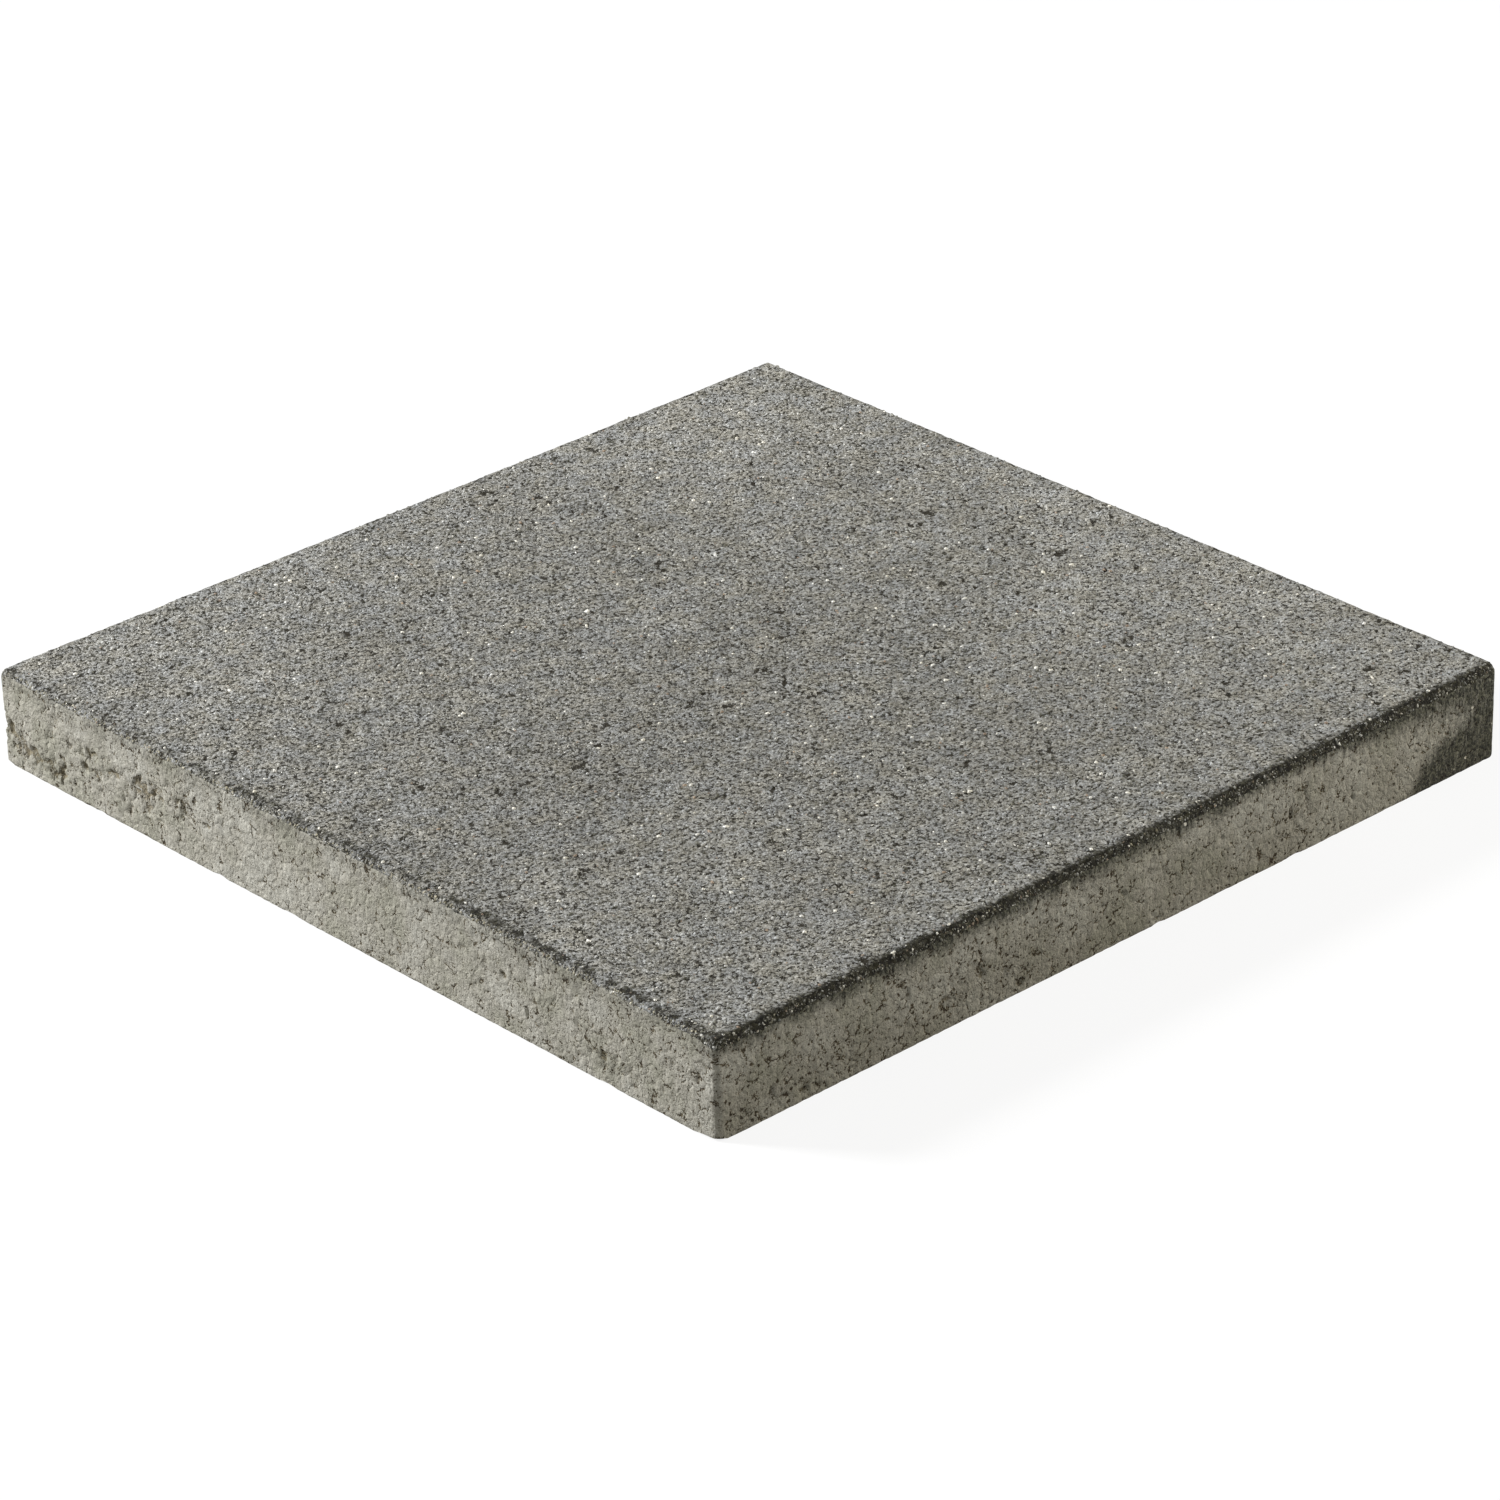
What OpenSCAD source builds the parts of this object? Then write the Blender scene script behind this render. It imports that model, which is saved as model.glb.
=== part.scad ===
// Square concrete paving slab, cast face up in one piece.
// The wearing face is the top; its arris is worn to a bevel by shot-blasting.
// The upright corners are rounded by the mould, and the bottom arris is sharp.
// Millimetres. The origin is the centre of the underside and +Z is up.

/* [Slab] */
// Side of the slab along X
slab_length = 400; // [200:10:1000]
// Side of the slab along Y
slab_width = 400; // [200:10:1000]
// Height from the underside to the wearing face
slab_thickness = 40; // [30:1:120]

/* [Edges] */
// Radius of the four upright corners
corner_radius = 3; // [2.5:0.5:20]
// How far the blasted arris is set back from each side
arris_setback = 2; // [0.5:0.5:2]
// How far the blasted arris reaches down each side
arris_depth = 2; // [0.5:0.5:6]

/* [Hidden] */

$fn = 48;
// Height at which the upright sides end and the arris begins
side_height = slab_thickness - arris_depth;
// Distance of each corner's upright axis from the slab's middle
corner_x = slab_length / 2 - corner_radius;
corner_y = slab_width / 2 - corner_radius;

// Half of the cross-section that every side and corner shares.
// It reaches `reach` out from its inner line.
module edge_section(reach) {
    polygon([
        [0, 0],
        [reach, 0],
        [reach, side_height],
        [reach - arris_setback, slab_thickness],
        [0, slab_thickness],
    ]);
}

// A full section of the slab, `run` long and `reach` out to each side of its middle
module straight_part(run, reach) {
    rotate([90, 0, 0])
        translate([0, 0, -run / 2])
            linear_extrude(height = run)
                union() {
                    edge_section(reach);
                    mirror([1, 0]) edge_section(reach);
                }
}

// One rounded upright corner with its blasted arris
module corner() {
    rotate_extrude() edge_section(corner_radius);
}

module slab() {
    color([0.47, 0.46, 0.43])
        union() {
            straight_part(2 * corner_y, slab_length / 2);
            rotate([0, 0, 90]) straight_part(2 * corner_x, slab_width / 2);
            for (side_x = [-1, 1], side_y = [-1, 1])
                translate([side_x * corner_x, side_y * corner_y, 0]) corner();
        }
}

slab();
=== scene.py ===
"""Square concrete paving slab with a shot-blasted wearing face, dressed round its CAD frame.

The slab is pressed in two mixes, wet on wet. One closed mesh is the body with its four formed sides
and its underside, and one is the facing that the shot cut back at the top and along the arris. The
other pieces are the grains that stand out of it, joined by mineral and by form.
Lengths are millimetres everywhere until a mesh is written, which is done in metres.
"""

from __future__ import annotations

import logging
import math
from collections.abc import Iterator
from dataclasses import dataclass
from enum import Enum

import bpy
import numpy as np
from mathutils import Matrix, Vector


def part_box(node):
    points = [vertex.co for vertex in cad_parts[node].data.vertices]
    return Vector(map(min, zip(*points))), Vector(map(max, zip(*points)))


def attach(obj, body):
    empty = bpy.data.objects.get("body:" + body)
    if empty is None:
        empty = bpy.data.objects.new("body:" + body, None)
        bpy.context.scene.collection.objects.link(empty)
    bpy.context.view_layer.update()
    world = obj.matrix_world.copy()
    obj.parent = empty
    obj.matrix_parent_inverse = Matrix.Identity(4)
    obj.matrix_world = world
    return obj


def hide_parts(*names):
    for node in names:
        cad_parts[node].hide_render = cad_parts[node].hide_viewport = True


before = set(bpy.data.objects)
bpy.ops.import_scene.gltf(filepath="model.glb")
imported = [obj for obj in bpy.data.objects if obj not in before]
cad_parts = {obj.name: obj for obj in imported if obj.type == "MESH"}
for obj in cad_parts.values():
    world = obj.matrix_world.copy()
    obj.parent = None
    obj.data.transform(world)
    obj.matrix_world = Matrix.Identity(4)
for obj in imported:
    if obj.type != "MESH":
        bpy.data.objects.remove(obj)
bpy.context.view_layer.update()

MM = 0.001
CORNER_RADIUS = 3.0
NODE = "slab"
BODY = "root"
BAKE_MAP = "OFBake"
SEED = 4004

log = logging.getLogger("paving_slab")


# ---------------------------------------------------------------- random fields

# What stirs a cell's whole numbers into a random one: 32 bits, and large odd factors
ALL_BITS = 0xFFFFFFFF
SEED_FACTOR = 2654435761
AXIS_FACTORS = (374761393, 668265263, 2147483647)
STIR_FACTOR = 1274126177


def cell_random(cells: np.ndarray, seed: int) -> np.ndarray:
    """One random number from 0 to 1 for every whole-number cell.

    Formula: the cell's coordinates are multiplied by large odd numbers and added, and the bits of
    the sum are stirred by shifts and multiplications.

    Args:
        cells: Whole numbers, one row of coordinates for each cell.
        seed: Picks one of many unlike patterns.

    Returns:
        An array of one number a cell.
    """
    stir = np.full(cells.shape[:-1], (seed * SEED_FACTOR) & ALL_BITS, np.uint32)
    for axis, factor in zip(range(cells.shape[-1]), AXIS_FACTORS):
        stir = stir + cells[..., axis].astype(np.int64).astype(np.uint32) * np.uint32(factor)
        stir = (stir ^ (stir >> np.uint32(13))) * np.uint32(STIR_FACTOR)
    stir = stir ^ (stir >> np.uint32(16))
    return stir.astype(np.float64) / ALL_BITS


def smooth_noise(points: np.ndarray, size: float, seed: int) -> np.ndarray:
    """A smooth random field from -1 to 1.

    Formula: random numbers stand at the corners of a lattice of `size`, and each point blends its
    cell's corners by the fade 6t^5 - 15t^4 + 10t^3 along every axis.

    Args:
        points: One row of coordinates for each point, in one to three axes.
        size: The width of a feature.
        seed: Picks the pattern.

    Returns:
        An array of one number a point.
    """
    scaled = points / size
    low = np.floor(scaled).astype(np.int64)
    part = scaled - low
    fade = part * part * part * (part * (part * 6 - 15) + 10)
    total = np.zeros(len(points))
    axes = points.shape[1]
    for corner in range(2**axes):
        step = np.array([(corner >> axis) & 1 for axis in range(axes)])
        weight = np.prod(np.where(step, fade, 1 - fade), axis=1)
        total += weight * cell_random(low + step, seed)
    return 2 * total - 1


def middles(points: np.ndarray, cell: float, seed: int) -> Iterator[tuple[np.ndarray, np.ndarray]]:
    """Goes through the nine square cells round each point, with one random place in each.

    Args:
        points: Two coordinates for each point.
        cell: Side of a cell.
        seed: Picks the places.

    Yields:
        The cells' whole numbers and the places in them, from 0 to 1, one row a point.
    """
    low = np.floor(points / cell).astype(np.int64)
    for step_x in (-1, 0, 1):
        for step_y in (-1, 0, 1):
            here = low + (step_x, step_y)
            yield here, np.stack([cell_random(here, seed + 1), cell_random(here, seed + 2)], 1)


def spots(
    points: np.ndarray, cell: float, chance: float, radius: tuple[float, float], seed: int
) -> np.ndarray:
    """Round hollows strewn at random, as a field from 0 outside them to 1 at their middles.

    Formula: each square cell may hold one centre at a random place in it, and a point takes the
    largest 1 - (distance / radius)^2 among the centres of its own cell and the eight round it.

    Args:
        points: Two coordinates for each point.
        cell: Side of a cell.
        chance: Share of the cells that hold a hollow.
        radius: Smallest and largest radius, under the side of a cell.
        seed: Picks the pattern.

    Returns:
        An array of one number a point.
    """
    best = np.zeros(len(points))
    for here, place in middles(points, cell, seed):
        wide = radius[0] + (radius[1] - radius[0]) * cell_random(here, seed + 3)
        gone = cell_random(here, seed + 4) >= chance
        apart = np.linalg.norm(points - (here + place) * cell, axis=1) / wide
        best = np.maximum(best, np.where(gone, 0, 1 - apart**2))
    return best


def seams(points: np.ndarray, cell: float, seed: int) -> np.ndarray:
    """The seams between clods that fill a plane, from 1 on a seam down to 0 within a clod.

    Formula: one clod's middle stands at a random place in every square cell, and a point takes
    1 - (second distance - first distance) / cell of the middles nearest to it.

    Args:
        points: Two coordinates for each point.
        cell: Side of a cell.
        seed: Picks the pattern.

    Returns:
        An array of one number a point.
    """
    first, second = np.full((2, len(points)), np.inf)
    for here, place in middles(points, cell, seed):
        apart = np.linalg.norm(points / cell - here - place, axis=1)
        second = np.minimum(second, np.maximum(first, apart))
        first = np.minimum(first, apart)
    return np.clip(1 - (second - first), 0, 1)


def ramp(values: np.ndarray, low: float, high: float) -> np.ndarray:
    """0 at `low`, 1 at `high`, which may be the smaller one, and 3t^2 - 2t^3 between them."""
    part = np.clip((values - low) / (high - low), 0, 1)
    return part * part * (3 - 2 * part)


# ---------------------------------------------------------------- shader helpers

# Numbers of the colour sockets on a mix node
MIX_FACTOR, MIX_A, MIX_B, MIX_COLOUR = 0, 6, 7, 2
WHITE = "#FFFFFF"
Socket = bpy.types.NodeSocket
Tree = bpy.types.NodeTree


def linear(hex_colour: str) -> tuple[float, float, float, float]:
    """The linear colour, with an alpha of 1, of an sRGB colour written as #RRGGBB."""
    parts = [int(hex_colour[at : at + 2], 16) / 255 for at in (1, 3, 5)]
    return (*[p / 12.92 if p <= 0.04045 else ((p + 0.055) / 1.055) ** 2.4 for p in parts], 1.0)


def per_metre(size_mm: float) -> float:
    """A texture's scale that gives features of this many millimetres on Object coordinates."""
    return 1 / (size_mm * MM)


def put(tree: Tree, kind: str, inputs: dict | None = None, **settings: object) -> bpy.types.Node:
    """Adds a shader node, sets it and wires it.

    Args:
        tree: The material's or world's node tree.
        kind: The node's type, without its ShaderNode prefix.
        inputs: For each input's name or number, the value it is set to or the socket it reads.
        **settings: The node's own properties.

    Returns:
        The node.
    """
    node = tree.nodes.new("ShaderNode" + kind)
    for name, value in settings.items():
        setattr(node, name, value)
    for name, value in (inputs or {}).items():
        if isinstance(value, Socket):
            tree.links.new(value, node.inputs[name])
        else:
            node.inputs[name].default_value = value
    return node


def new_material(name: str) -> tuple[bpy.types.Material, Tree]:
    """Makes a material without nodes.

    Args:
        name: The material's name.

    Returns:
        The material and its node tree.
    """
    material = bpy.data.materials.new(name)
    material.use_nodes = True
    material.node_tree.nodes.clear()
    return material, material.node_tree


@dataclass(frozen=True)
class Pattern:
    """The patterns that the finishes share, all on Object coordinates and in real millimetres."""

    tree: Tree

    def place(self) -> Socket:
        """The point's place on the slab."""
        return put(self.tree, "TexCoord").outputs["Object"]

    def noise(self, size: float, detail: float = 2.0, rough: float = 0.5, flat: float = 1.0) -> Socket:
        """Cloudy noise about 0.5.

        Args:
            size: Width of a feature in millimetres.
            detail: Number of finer layers.
            rough: Weight of the finer layers.
            flat: Under 1, the features are drawn out upright by this factor.

        Returns:
            The socket of the value.
        """
        place = put(self.tree, "Mapping", {"Vector": self.place(), "Scale": (1.0, 1.0, flat)})
        inputs = {"Vector": place.outputs[0], "Scale": per_metre(size)}
        return put(
            self.tree, "TexNoise", {**inputs, "Detail": detail, "Roughness": rough}
        ).outputs["Fac"]

    def cells(self, size: float) -> tuple[Socket, Socket]:
        """Grains that fill space.

        Args:
            size: Width of a grain in millimetres.

        Returns:
            The distance from the grain's middle and one random value for each grain.
        """
        grains = put(self.tree, "TexVoronoi", {"Vector": self.place(), "Scale": per_metre(size)})
        pick = put(self.tree, "SeparateColor", {"Color": grains.outputs["Color"]})
        return grains.outputs["Distance"], pick.outputs["Red"]

    def clods(self, size: float) -> tuple[Socket, Socket]:
        """Rounded clods that fill space, with crooked seams between them.

        Formula: the place is stirred by a noise of half the clods' size before the cells are laid.

        Args:
            size: Width of a clod in millimetres.

        Returns:
            The distance from the nearest seam, as a share of the size, and one random value for
            each clod.
        """
        stir = put(
            self.tree, "TexNoise", {"Vector": self.place(), "Scale": per_metre(size / 2), "Detail": 3.0}
        )
        stretch = {0: stir.outputs["Color"], 1: (size * MM,) * 3, 2: self.place()}
        moved = put(self.tree, "VectorMath", stretch, operation="MULTIPLY_ADD").outputs[0]
        inputs = {"Vector": moved, "Scale": per_metre(size)}
        seam = put(self.tree, "TexVoronoi", inputs, feature="DISTANCE_TO_EDGE")
        body = put(self.tree, "TexVoronoi", inputs)
        pick = put(self.tree, "SeparateColor", {"Color": body.outputs["Color"]})
        return seam.outputs["Distance"], pick.outputs["Red"]

    def attribute(self, name: str) -> Socket:
        """A value stored on the mesh."""
        return put(self.tree, "Attribute", attribute_name=name).outputs["Fac"]

    def math(self, operation: str, first: Socket | float, second: Socket | float) -> Socket:
        """One sum of two values."""
        return put(self.tree, "Math", {0: first, 1: second}, operation=operation).outputs[0]

    def spread(self, value: Socket, low: float, high: float, start: float, end: float) -> Socket:
        """The value's run from `low` to `high` brought to a run from `start` to `end`."""
        run = {"From Min": low, "From Max": high, "To Min": start, "To Max": end}
        return put(self.tree, "MapRange", {"Value": value, **run}).outputs["Result"]

    def steps(self, value: Socket, steps: list[tuple[float, str]]) -> Socket:
        """A colour for each value.

        Args:
            value: The value, from 0 to 1.
            steps: Places and their sRGB colours.

        Returns:
            The socket of the colour.
        """
        node = put(self.tree, "ValToRGB", {"Fac": value})
        elements = node.color_ramp.elements
        while len(elements) < len(steps):
            elements.new(0.5)
        for element, (at, hex_colour) in zip(elements, steps):
            element.position = at
            element.color = linear(hex_colour)
        return node.outputs["Color"]

    def swing(self, noise: Socket, start: float, end: float) -> Socket:
        """A noise's usual run, 0.3 to 0.7, brought to a run from `start` to `end`."""
        return self.spread(noise, 0.3, 0.7, start, end)

    def times(self, colour: Socket, factor: Socket) -> Socket:
        """A colour multiplied by another one or by a value."""
        return self.blend(1.0, colour, factor, "MULTIPLY")

    def blend(
        self, share: Socket | float, base: Socket | tuple, over: Socket | tuple, how: str = "MIX"
    ) -> Socket:
        """Two colours laid over each other.

        Args:
            share: Weight of the upper one.
            base: The lower colour.
            over: The upper colour.
            how: The way they join.

        Returns:
            The socket of the colour.
        """
        inputs = {MIX_FACTOR: share, MIX_A: base, MIX_B: over}
        node = put(self.tree, "Mix", inputs, data_type="RGBA", blend_type=how)
        return node.outputs[MIX_COLOUR]

    def close(
        self,
        colour: Socket,
        height: Socket | None,
        relief: float,
        roughness: Socket | float,
        ior: float,
        shine: float = 0.2,
    ) -> None:
        """Ends the material in its surface.

        Args:
            colour: The base colour.
            height: The fine relief, or None for a smooth surface.
            relief: Height of that relief in millimetres.
            roughness: The roughness, varied or the same all over.
            ior: Index of refraction.
            shine: Specular level, 0.5 for a clean surface and less for a porous, dusty one.
        """
        inputs = {"Base Color": colour, "Roughness": roughness, "IOR": ior, "Specular IOR Level": shine}
        if height is not None:
            bump = put(self.tree, "Bump", {"Height": height, "Distance": relief * MM})
            inputs["Normal"] = bump.outputs["Normal"]
        shader = put(self.tree, "BsdfPrincipled", inputs)
        put(self.tree, "OutputMaterial", {"Surface": shader.outputs["BSDF"]})


# ---------------------------------------------------------------- finishes


@dataclass(frozen=True)
class Patches:
    """The facing mix's cast of colour, a little warmer or cooler from patch to patch."""

    warm: str = "#FDFAF1"
    cool: str = "#F8FAFC"
    size_mm: float = 9.0

    def over(self, draw: Pattern, colour: Socket) -> Socket:
        """The colour with the cast laid over it."""
        cloud = draw.noise(self.size_mm, 4.0, 0.6)
        return draw.times(colour, draw.steps(cloud, [(0.36, self.warm), (0.64, self.cool)]))


@dataclass(frozen=True)
class BlastedMortar:
    """Cement mortar between the grains, cut back by shot-blasting.

    The eye gets a gritty grey ground between the larger grains, a little warmer or cooler from
    patch to patch, painted shade in its crevices and in the pits where grains were torn out, and
    dark dust with painted shade in the arris.
    """

    mortar: str = "#82807A"
    sand: str = "#B2B2AF"
    # Painted shade: the colour laid in the crevices and the torn-out pits
    pit: str = "#2A271E"
    # Dust and painted shade of the arris: dark colours that stand partly for the shade it lies in
    dust_and_shade_dark: str = "#14120C"
    dust_and_shade: str = "#2F2D21"
    dust_and_shade_light: str = "#494739"
    patches: Patches = Patches()
    sand_mm: float = 1.1
    crust_mm: float = 0.5
    crevice_mm: float = 1.8
    dust_and_shade_mm: float = 2.0
    relief_mm: float = 0.7

    def material(self) -> bpy.types.Material:
        """Builds the finish.

        Returns:
            The material.
        """
        material, tree = new_material("shot_blasted_cement_mortar")
        draw = Pattern(tree)
        away, pick = draw.cells(self.sand_mm)
        crust = draw.noise(self.crust_mm, 3.0, 0.6)
        crevice = draw.noise(self.crevice_mm, 5.0, 0.72)
        stone = draw.steps(pick, [(0.0, self.mortar), (1.0, self.sand)])
        toned = self.patches.over(draw, stone)
        # The tone holds painted light towards the back and right edges, and painted shade with the
        # arris dust
        toned = draw.times(toned, draw.spread(draw.attribute("tone"), 0, 1, 0.74, 1.26))
        toned = draw.times(toned, draw.swing(crust, 0.78, 1.22))
        # Painted shade: crevices and torn-out pits are darkened towards the pit colour
        torn = draw.math("MULTIPLY", draw.attribute("pit"), 0.2)
        open_part = draw.spread(draw.math("SUBTRACT", crevice, torn), 0.475, 0.425, 0, 1)
        crevice_shaded = draw.blend(open_part, toned, linear(self.pit))
        # Dust and painted shade: the arris, most of all on the front side in shade, takes these dark
        # colours
        dust_and_shade = draw.steps(pick, [(0.1, self.dust_and_shade_dark), (0.7, self.dust_and_shade), (1.0, self.dust_and_shade_light)])
        ragged = draw.spread(draw.noise(self.dust_and_shade_mm, 4.0, 0.7), 0.4, 0.6, -0.7, 0.7)
        dust_and_shade_share = draw.math("ADD", draw.spread(draw.attribute("cut"), 0, 1, -0.55, 1.3), ragged)
        colour = draw.blend(draw.spread(dust_and_shade_share, 0, 1, 0, 0.95), crevice_shaded, dust_and_shade)
        height = draw.math("SUBTRACT", draw.math("MULTIPLY", crust, 0.6), open_part)
        height = draw.math("SUBTRACT", height, draw.math("MULTIPLY", away, 0.6))
        roughness = draw.swing(crust, 0.98, 0.86)
        draw.close(colour, height, self.relief_mm, roughness, ior=1.5)
        return material


@dataclass(frozen=True)
class FormedSide:
    """Side of the casting as the steel mould left it.

    The eye gets a beige-grey cement skin, dusty and matt, with sand showing through, open seams
    and pores between the clods of the dry mix, which painted shade darkens as it does the voids,
    faint upright drag lines, and near the top the dark facing mix with its pale grains. Towards
    the foot of the front side the skin is darker with painted shade.
    """

    body_dark: str = "#939184"
    body: str = "#9C998E"
    body_light: str = "#A5A399"
    # Painted shade: the colour that darkens the skin towards the foot of the front side
    damp: str = "#B9B4A4"
    facing: str = "#303029"
    facing_light: str = "#5E5D50"
    # The pore colours are painted shade in the pores, the open seams and the voids
    pore_rim: str = "#C8BDA8"
    pore: str = "#574B3D"
    pale_grain: str = "#C9C6BA"
    sand_mm: float = 0.85
    grit_mm: float = 0.4
    clod_mm: float = 4.6
    crumb_mm: float = 1.2
    gate_mm: float = 5.0
    pore_mm: float = 2.6
    pock_mm: float = 1.7
    torn_mm: float = 1.1
    pinhole_mm: float = 0.85
    lump_mm: float = 2.4
    drag_mm: float = 0.6
    strand_mm: float = 1.6
    fray_mm: float = 2.0
    pale_mm: float = 3.0
    cloud_mm: float = 16.0
    relief_mm: float = 0.4

    def pores(self, draw: Pattern, seam: Socket) -> Socket:
        """Open seams between clods, irregular pores along them, and pinholes.

        Formula: a seam is open where a noise falls under a level that rises with the mesh's
        openness; a pore is where a rougher noise falls under its level, which is easier near a
        seam; pinholes are the same at a third of the size; and a pock is a round hole of up to
        0.7 mm in radius with a torn rim, in the cells whose random number is high enough.

        Args:
            draw: The material's patterns.
            seam: The distance from the nearest seam.

        Returns:
            0 on the skin to 1 in the pores.
        """
        loose = draw.math("MULTIPLY", draw.attribute("open"), 0.06)
        gate = draw.math("SUBTRACT", draw.noise(self.gate_mm, 4.0, 0.7), loose)
        split = draw.spread(gate, 0.41, 0.36, 0, 1)
        crack = draw.math("MULTIPLY", draw.spread(seam, 0.085, 0.02, 0, 1), split)
        near = draw.spread(seam, 0.2, 0.0, 0, 0.05)
        rough = draw.math("SUBTRACT", draw.noise(self.pore_mm, 5.0, 0.7), near)
        large = draw.spread(draw.math("SUBTRACT", rough, loose), 0.32, 0.27, 0, 1)
        small = draw.math("SUBTRACT", draw.noise(self.pinhole_mm, 2.0, 0.6), loose)
        small = draw.math("SUBTRACT", small, near)
        small = draw.spread(small, 0.29, 0.25, 0, 0.9)
        away, pick = draw.cells(self.pock_mm)
        away = draw.math("ADD", away, draw.swing(draw.noise(self.torn_mm, 4.0, 0.7), -0.5, 0.5))
        pick = draw.math("ADD", pick, draw.math("MULTIPLY", loose, 3.0))
        pock = draw.math("SUBTRACT", draw.spread(pick, 0.85, 1.1, -0.35, 0.4), away)
        pock = draw.spread(pock, 0.0, 0.12, 0, 0.95)
        small = draw.math("MAXIMUM", small, pock)
        return draw.math("MAXIMUM", draw.math("MAXIMUM", large, small), crack)

    def facing_share(self, draw: Pattern, drag: Socket) -> Socket:
        """The mesh's share of facing mix, frayed by clouds, upright strands and the drag lines.

        Args:
            draw: The material's patterns.
            drag: The drag lines.

        Returns:
            0 to 1.
        """
        fray = draw.swing(draw.noise(self.fray_mm, 5.0, 0.75), -0.24, 0.24)
        strand = draw.noise(self.strand_mm, 3.0, 0.6, flat=0.15)
        strand = draw.spread(strand, 0.35, 0.65, -0.18, 0.18)
        fray = draw.math("ADD", draw.math("ADD", fray, strand), draw.swing(drag, -0.2, 0.2))
        share = draw.attribute("facing")
        held = draw.math("MULTIPLY", fray, draw.spread(share, 0.0, 0.25, 0, 1))
        share = draw.spread(draw.math("ADD", share, held), 0.0, 0.95, 0, 1)
        # The strength by side is partly painted shade, fullest on the shaded front side
        return draw.math("MULTIPLY", share, draw.attribute("veil_and_shade"))

    def material(self) -> bpy.types.Material:
        """Builds the finish.

        Returns:
            The material.
        """
        material, tree = new_material("mould_formed_concrete_side")
        draw = Pattern(tree)
        cloud = draw.noise(self.cloud_mm, 4.0, 0.55)
        body = draw.steps(
            cloud, [(0.36, self.body_dark), (0.5, self.body), (0.64, self.body_light)]
        )
        drag = draw.noise(self.drag_mm, 2.0, 0.5, flat=0.08)
        grit = draw.noise(self.grit_mm, 2.0, 0.6)
        away, pick = draw.cells(self.sand_mm)
        facing = draw.steps(pick, [(0.3, self.facing), (1.0, self.facing_light)])
        pale_away, pale_pick = draw.cells(self.pale_mm)
        pale = draw.math("SUBTRACT", draw.spread(pale_pick, 0.7, 1.0, 0, 0.26), pale_away)
        facing = draw.blend(draw.spread(pale, -0.02, 0.05, 0, 1), facing, linear(self.pale_grain))
        mixed = draw.blend(self.facing_share(draw, drag), body, facing)
        skin = draw.times(mixed, draw.spread(pick, 0, 1, 0.88, 1.11))
        skin = draw.times(skin, draw.swing(grit, 0.8, 1.2))
        skin = draw.times(skin, draw.swing(drag, 0.9, 1.1))
        seam, clod = draw.clods(self.clod_mm)
        skin = draw.times(skin, draw.spread(clod, 0, 1, 0.93, 1.07))
        # Painted shade towards the foot of the front side
        skin = draw.blend(draw.attribute("damp"), skin, linear(self.damp), "MULTIPLY")
        pores = self.pores(draw, seam)
        ragged = draw.swing(draw.noise(self.crumb_mm, 3.0, 0.65), -0.36, 0.36)
        deep = draw.spread(draw.math("ADD", draw.attribute("hollow"), ragged), 0.36, 0.76, 0, 1)
        # Painted shade: pores, open seams and deep voids are darkened towards the pore colour
        hollow = draw.math("MAXIMUM", pores, draw.math("MULTIPLY", deep, 0.35))
        pore_shade = draw.steps(hollow, [(0.0, WHITE), (0.4, self.pore_rim), (1.0, self.pore)])
        height = draw.math("SUBTRACT", draw.math("MULTIPLY", grit, 0.45), pores)
        height = draw.math("SUBTRACT", height, draw.math("MULTIPLY", away, 0.2))
        height = draw.math("SUBTRACT", height, draw.math("MULTIPLY", deep, 0.8))
        height = draw.math("ADD", height, draw.spread(seam, 0.0, 0.35, 0.0, 0.9))
        lumps = draw.math("MULTIPLY", draw.noise(self.lump_mm, 1.0, 0.5), 0.7)
        height = draw.math("ADD", height, lumps)
        roughness = draw.swing(grit, 0.95, 0.82)
        draw.close(draw.times(skin, pore_shade), height, self.relief_mm, roughness, ior=1.5)
        return material


@dataclass(frozen=True)
class PalletFace:
    """Underside of the casting, flat from the pallet it was pressed on.

    The eye gets a paler, closer cement skin than the sides, with a few pores, darkened with
    painted shade, and damp clouds.
    """

    skin: str = "#9A978D"
    cloud: str = "#868479"
    # Painted shade in the pores
    pore: str = "#5A5444"
    cloud_mm: float = 45.0
    pore_mm: float = 4.0
    grit_mm: float = 0.9
    relief_mm: float = 0.25

    def material(self) -> bpy.types.Material:
        """Builds the finish.

        Returns:
            The material.
        """
        material, tree = new_material("pallet_pressed_concrete_underside")
        draw = Pattern(tree)
        skin = draw.steps(
            draw.noise(self.cloud_mm, 7.0, 0.6), [(0.35, self.cloud), (0.65, self.skin)]
        )
        pores = draw.spread(draw.noise(self.pore_mm, 4.0, 0.7), 0.34, 0.3, 0, 1)
        grit = draw.noise(self.grit_mm, 3.0, 0.6)
        gritty = draw.times(skin, draw.swing(grit, 0.88, 1.12))
        colour = draw.blend(pores, gritty, linear(self.pore))
        height = draw.math("SUBTRACT", draw.math("MULTIPLY", grit, 0.4), pores)
        roughness = draw.swing(grit, 0.92, 0.8)
        draw.close(colour, height, self.relief_mm, roughness, ior=1.5)
        return material


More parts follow.
